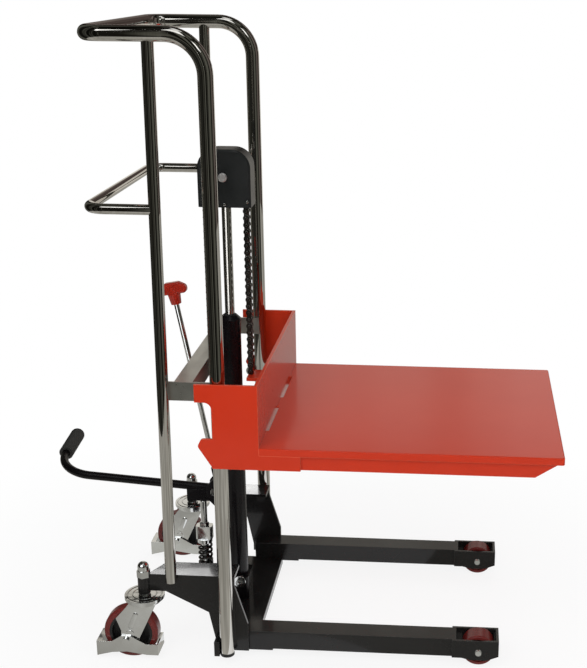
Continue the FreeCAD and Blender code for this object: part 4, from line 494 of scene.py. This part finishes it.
def pressed_rib(name, start, end, face, out, half, rise, body, slot="zinc"):
    """A raised rib pressed into a plate that faces along Y, between two (x, z) points."""
    mesh = bmesh.new()
    first, last = Vector(start), Vector(end)
    lean = math.atan2(last.y - first.y, last.x - first.x)
    rings = []
    profile = ((half, -RIB_SINK), (half, 0), (0.75 * half, 0.75 * rise), (0.5 * half, rise))
    for reach, height in profile:
        ring = []
        for step in range(RIB_STEPS):
            angle = lean - math.pi / 2 + 2 * math.pi * (step + 0.5) / RIB_STEPS
            centre = last if step < RIB_STEPS / 2 else first
            ring.append(mesh.verts.new((centre.x + reach * math.cos(angle), face + out * height,
                                        centre.y + reach * math.sin(angle))))
        rings.append(ring)
    for low, high in zip(rings, rings[1:]):
        for step in range(RIB_STEPS):
            after = (step + 1) % RIB_STEPS
            mesh.faces.new((low[step], low[after], high[after], high[step]))
    mesh.faces.new(rings[0])
    mesh.faces.new(rings[-1])
    settle(name, mesh, (0, 0, 0), (0, 0, 1), body, slot)


def side_points(node, sign):
    """The corners of a node's mesh on one side of the middle plane."""
    return [point.co for point in nodes[node].data.vertices if point.co.y * sign > 0]


def limits(points, axis):
    """The least and the greatest value of the points along one axis."""
    values = [point[axis] for point in points]
    return min(values), max(values)


RING_BORE = 5.5 * MM
AXLE_RING_SINK = 2.2 * MM
PIN_RING_SINK = 2 * MM
# share of the race's reach, width and rise of each ridge
RACE_RIDGES = ((0.43, 3.2 * MM, 1.1 * MM), (0.3, 3 * MM, 1 * MM))
RACE_RIM = 0.45
# the caster arms' lowest part, where nothing else sticks out, and their ribs' ends as (x, z)
ARM_FOOT = 10 * MM
RIB_TOP, RIB_FOOT = (-0.335, 0.112), (-0.3475, 0.083)
RIB_HALF, RIB_RISE = 6.5 * MM, 1.3 * MM
COVER_SCREWS = ((-0.1467, 1.0141), (-0.0955, 1.0205))
COVER_SCREW_RADIUS = 3.4 * MM
PLUG_X, BLEED_X, PLUG_Z = -0.1412, -0.17, 0.0769
PLUG_FLATS, BLEED_FLATS = 15 * MM, 12 * MM
ROD_NUT_FLATS, ROD_NUT_HEIGHT = 20 * MM, 9 * MM
ROD_NUT_GRIP = 0.9
WIPER_PLAY, WIPER_HEIGHT = 0.4 * MM, 3.5 * MM


def add_axle_rings(side, sign):
    axle = side_points("front_axles", sign)
    x = sum(limits(axle, 0)) / 2
    z = sum(limits(axle, 2)) / 2
    low, high = limits(axle, 1)
    for label, y, out in (("outer", high if sign > 0 else low, sign),
                          ("inner", low if sign > 0 else high, -sign)):
        snap_ring("%s_axle_ring_%s" % (side, label), (x, y - out * AXLE_RING_SINK, z),
                  (0, out, 0), RING_BORE, "frame")


def add_race_ridges(side, sign):
    stem = side_points("caster_stems", sign)
    low, high = limits(stem, 0)
    reach = high - low
    centre = (low + high) / 2
    across = sum(limits(stem, 1)) / 2
    disc = max(point.z for point in stem if abs(point.x - centre) > RACE_RIM * reach)
    rings = [(share * reach, width, rise) for share, width, rise in RACE_RIDGES]
    ridges(side + "_race_ridges", (centre, across, disc), rings, "frame")


def add_arm_ribs(side):
    fork = side + "_caster_fork"
    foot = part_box(fork)[0][2]
    arms = [point.co for point in nodes[fork].data.vertices if point.co.z < foot + ARM_FOOT]
    low, high = limits(arms, 1)
    for label, y, out in (("low", low, -1), ("high", high, 1)):
        pressed_rib("%s_arm_rib_%s" % (side, label), RIB_TOP, RIB_FOOT, y, out,
                    RIB_HALF, RIB_RISE, side + "_swivel")


def add_cover_screws():
    low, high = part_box("head_cover")
    for number, (x, z) in enumerate(COVER_SCREWS):
        for label, y, out in (("near", low[1], -1), ("far", high[1], 1)):
            pan_screw("cover_screw_%d_%s" % (number, label), (x, y, z), (0, out, 0),
                      COVER_SCREW_RADIUS, "ram")


def add_pump_fittings():
    low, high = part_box("pump_block")
    hex_screw("pump_plug", (PLUG_X, low[1], PLUG_Z), (0, -1, 0), PLUG_FLATS, "frame")
    hex_screw("pump_bleed", (BLEED_X, high[1], PLUG_Z), (0, 1, 0), BLEED_FLATS, "frame")
    rod = middle("push_rod")
    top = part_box("pump_plunger")[1][2]
    low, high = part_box("push_rod")
    bore = ROD_NUT_GRIP * (high[1] - low[1]) / 2
    hex_nut("push_rod_nut", (rod.x, rod.y, top), (0, 0, 1), ROD_NUT_FLATS, bore, ROD_NUT_HEIGHT,
            "plunger")


def add_pivot_rings():
    low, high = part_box("pedal_pivot_pin")
    pin = middle("pedal_pivot_pin")
    for label, y, out in (("near", low[1], -1), ("far", high[1], 1)):
        snap_ring("pivot_ring_" + label, (pin.x, y - out * PIN_RING_SINK, pin.z), (0, out, 0),
                  RING_BORE, "frame")


def add_gland_wiper():
    rod = middle("piston_rod")
    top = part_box("cylinder_gland")[1][2]
    bore = max(point.co.y for point in nodes["piston_rod"].data.vertices if point.co.z > top)
    wiper_ring("gland_wiper", (rod.x, rod.y, top), bore + WIPER_PLAY, WIPER_HEIGHT, "frame")


def add_hardware():
    for side, sign in (("left", 1), ("right", -1)):
        add_axle_rings(side, sign)
        add_race_ridges(side, sign)
        add_arm_ribs(side)
    add_cover_screws()
    add_pump_fittings()
    add_pivot_rings()
    add_gland_wiper()


# Stage and light

def white_to_camera(tree, lit, share):
    """Mix a lit shader with plain white for rays that come from the camera, metal or glass."""
    white = tree.nodes.new("ShaderNodeEmission")
    white.inputs["Color"].default_value = (1, 1, 1, 1)
    white.inputs["Strength"].default_value = 1
    path = tree.nodes.new("ShaderNodeLightPath")
    seen = path.outputs["Is Camera Ray"]
    for kind in ("Is Glossy Ray", "Is Transmission Ray"):
        either = tree.nodes.new("ShaderNodeMath")
        either.operation = "MAXIMUM"
        tree.links.new(seen, either.inputs[0])
        tree.links.new(path.outputs[kind], either.inputs[1])
        seen = either.outputs[0]
    if share is not None:
        part = tree.nodes.new("ShaderNodeMath")
        part.operation = "MULTIPLY"
        tree.links.new(seen, part.inputs[0])
        tree.links.new(share, part.inputs[1])
        seen = part.outputs[0]
    choice = tree.nodes.new("ShaderNodeMixShader")
    tree.links.new(seen, choice.inputs["Fac"])
    tree.links.new(lit, choice.inputs[1])
    tree.links.new(white.outputs[0], choice.inputs[2])
    return choice.outputs[0]


FLOOR_HALF = 14
FLOOR_COLOUR = (0.93, 0.93, 0.93, 1)
FLOOR_ROUGHNESS = 0.8
FLOOR_GLOSS = 0.1
SHADOW_REACH = 1.25
SHADOW_FULL = 0.6
SHADOW_SHARE = 0.14
WORLD_STRENGTH = 0.45


def add_stage():
    floor = bpy.data.meshes.new("floor")
    h = FLOOR_HALF
    floor.from_pydata([(-h, -h, 0), (h, -h, 0), (h, h, 0), (-h, h, 0)], [], [(0, 1, 2, 3)])
    item = bpy.data.objects.new("floor", floor)
    bpy.context.collection.objects.link(item)
    material, tree, shader = new_material("pale_floor")
    shader.inputs["Base Color"].default_value = FLOOR_COLOUR
    shader.inputs["Roughness"].default_value = FLOOR_ROUGHNESS
    shader.inputs["Specular IOR Level"].default_value = FLOOR_GLOSS
    # the shadow shows near the object and fades to plain white further out
    reach = tree.nodes.new("ShaderNodeTexGradient")
    reach.gradient_type = "SPHERICAL"
    size = 1 / SHADOW_REACH
    tree.links.new(coordinates(tree, (size, size, size)), reach.inputs["Vector"])
    share = tree.nodes.new("ShaderNodeMapRange")
    share.inputs["From Min"].default_value = 0
    share.inputs["From Max"].default_value = SHADOW_FULL
    share.inputs["To Min"].default_value = 1
    share.inputs["To Max"].default_value = 1 - SHADOW_SHARE
    tree.links.new(reach.outputs["Fac"], share.inputs["Value"])
    surface = white_to_camera(tree, shader.outputs[0], share.outputs["Result"])
    tree.links.new(surface, tree.nodes["Material Output"].inputs["Surface"])
    item.data.materials.append(material)


CARD_RADIUS = 1.75
CARD_HEIGHT = 3.2
CARD_STEPS = 24
CARD_LIFT = 4 * MM
FOLD_STRETCH = (1, 1, 0.03)
FOLD_SCALE = 1.9
FOLD_STOPS = (0.42, 0.52, 0.62)


def add_card(name, first, last, inner, outer, tones, strength):
    """A curved studio card that glows, though it is no lamp, and that only glossy surfaces see, so it
    paints what metal and gloss reflect, with faint folds.

    inner and outer are the card's two edges, each a (radius, height) pair.
    """
    data = bpy.data.meshes.new(name)
    points, faces = [], []
    for step in range(CARD_STEPS + 1):
        angle = math.radians(first + (last - first) * step / CARD_STEPS)
        for radius, height in (inner, outer):
            points.append((radius * math.cos(angle), radius * math.sin(angle), height))
        if step:
            k = 2 * step
            faces.append((k - 2, k, k + 1, k - 1))
    data.from_pydata(points, [], faces)
    item = bpy.data.objects.new(name, data)
    bpy.context.collection.objects.link(item)
    material, tree, shader = new_material(name)
    tree.nodes.remove(shader)
    glow = tree.nodes.new("ShaderNodeEmission")
    folds = noise(tree, coordinates(tree, FOLD_STRETCH), FOLD_SCALE, detail=2, roughness=0.5)
    stops = list(zip(FOLD_STOPS, tones))
    tree.links.new(ramp(tree, folds, stops), glow.inputs["Color"])
    glow.inputs["Strength"].default_value = strength
    tree.links.new(glow.outputs[0], tree.nodes["Material Output"].inputs["Surface"])
    item.data.materials.append(material)
    item.visible_camera = False
    item.visible_diffuse = False
    item.visible_shadow = False


def add_world():
    world = bpy.data.worlds.new("studio")
    bpy.context.scene.world = world
    world.use_nodes = True
    tree = world.node_tree
    light = tree.nodes["Background"]
    light.inputs["Color"].default_value = (1, 1, 1, 1)
    light.inputs["Strength"].default_value = WORLD_STRENGTH
    surface = white_to_camera(tree, light.outputs[0], None)
    tree.links.new(surface, tree.nodes["World Output"].inputs["Surface"])


def add_lamp(name, place, target, width, power, lit):
    """A square lamp; where lit names nodes or pieces, only those are lit by it."""
    data = bpy.data.lights.new(name, "AREA")
    data.size = width
    data.energy = power
    item = bpy.data.objects.new(name, data)
    aim = (Vector(target) - Vector(place)).to_track_quat("-Z", "Y")
    item.matrix_world = Matrix.Translation(place) @ aim.to_matrix().to_4x4()
    bpy.context.collection.objects.link(item)
    if lit:
        group = bpy.data.collections.new(name + "_lit")
        for piece in lit:
            group.objects.link(nodes.get(piece) or bpy.data.objects[piece])
        item.light_linking.receiver_collection = group
        item.visible_camera = False


# each lamp's place, aim, width in m and power in W, and what it lights where that isn't everything
LAMPS = (
    ("key", (-1.4, -2.6, 3.4), (0, 0, 0.7), 2.0, 40, ()),
    ("front", (0.3, -3.0, 1.9), (0, 0, 0.7), 0.8, 21, ()),
    ("fill", (2.8, -2.2, 2.4), (0, 0, 0.6), 2.0, 20, ()),
    ("back", (0.8, 2.8, 3.0), (0, 0, 0.7), 2.0, 20, ()),
    ("sheen", (-0.62, 1.47, 1.06), (-0.35, -0.2, 0.19), 1.0, 22,
     ("left_side_plate", "right_side_plate")),
    ("rod_glint", (-0.49, -1.36, 0.56), (-0.149, 0, 0.9), 0.8, 4,
     ("piston_rod", "release_rod", "push_rod", "pump_plunger")),
    ("caster_glint", (-0.66, -1.05, 0.81), (-0.33, -0.27, 0.1), 0.7, 4.5,
     ("left_caster_fork", "right_caster_fork", "left_caster_brake", "right_caster_brake",
      "left_arm_rib_low", "right_arm_rib_low", "caster_nuts")),
)

# the three tones that each kind of card glows with, from the dark to the light of its folds
DARK = ((0.004, 0.004, 0.003), (0.012, 0.011, 0.009), (0.12, 0.12, 0.1))
BROWN = ((0.03, 0.022, 0.018), (0.1, 0.075, 0.068), (0.24, 0.21, 0.19))
SAND = ((0.34, 0.33, 0.3), (0.44, 0.425, 0.39), (0.54, 0.53, 0.49))
PALE = ((0.56, 0.52, 0.46), (0.7, 0.66, 0.59), (0.82, 0.78, 0.71))
WHITE = ((0.9, 0.9, 0.9), (0.96, 0.96, 0.95), (1, 1, 1))

# edges of the cards as (radius, height)
FOOT = (CARD_RADIUS, CARD_LIFT)
KNEE = (CARD_RADIUS, 0.6)
WAIST = (CARD_RADIUS, 0.65)
SHOULDER = (CARD_RADIUS, 1.45)
HEAD = (CARD_RADIUS, CARD_HEIGHT)
CROWN = (0.3, CARD_HEIGHT)
SOFTBOX_EDGE = (0.9, CARD_HEIGHT)
SOFTBOX_LOW, SOFTBOX_HIGH = (1.7, 2.2), (1.7, 2.9)
NEAR = (0.34, CARD_LIFT)

# each glowing card's first and last angle in degrees from X, its two edges, tones and glow strength;
# in reflections only, the dark cards paint dark surroundings, the softboxes paint glints and the
# flags paint the floor
CARDS = (
    ("card_front", 185, 355, FOOT, HEAD, DARK, 1),
    ("card_left", 126, 185, FOOT, HEAD, DARK, 1),
    ("card_right", -5, 58, KNEE, HEAD, BROWN, 1),
    ("card_right_low", -5, 58, FOOT, KNEE, SAND, 1),
    ("card_back", 58, 126, WAIST, SHOULDER, PALE, 1),
    ("card_back_high", 58, 126, SHOULDER, HEAD, BROWN, 1),
    ("card_back_low", 58, 126, FOOT, WAIST, SAND, 1),
    ("card_top_left", 65, 246, CROWN, HEAD, DARK, 1),
    ("card_top_right", 286, 425, CROWN, HEAD, DARK, 1),
    ("softbox_top", 246, 286, SOFTBOX_EDGE, HEAD, WHITE, 1.5),
    ("softbox_left", 228, 242, SOFTBOX_LOW, SOFTBOX_HIGH, WHITE, 2),
    ("softbox_right", 296, 310, SOFTBOX_LOW, SOFTBOX_HIGH, WHITE, 2),
    ("flag_front", 185, 355, NEAR, FOOT, SAND, 1),
    ("flag_right", -5, 50, NEAR, FOOT, SAND, 1),
    ("flag_back", 50, 130, NEAR, FOOT, SAND, 1),
    ("flag_left", 130, 185, NEAR, FOOT, SAND, 1),
)


def add_lights():
    add_world()
    for lamp in LAMPS:
        add_lamp(*lamp)
    for card in CARDS:
        add_card(*card)


bpy.context.scene.view_settings.view_transform = "Standard"
add_camera()
dress_nodes()
add_strands()
add_hardware()
add_stage()
add_lights()
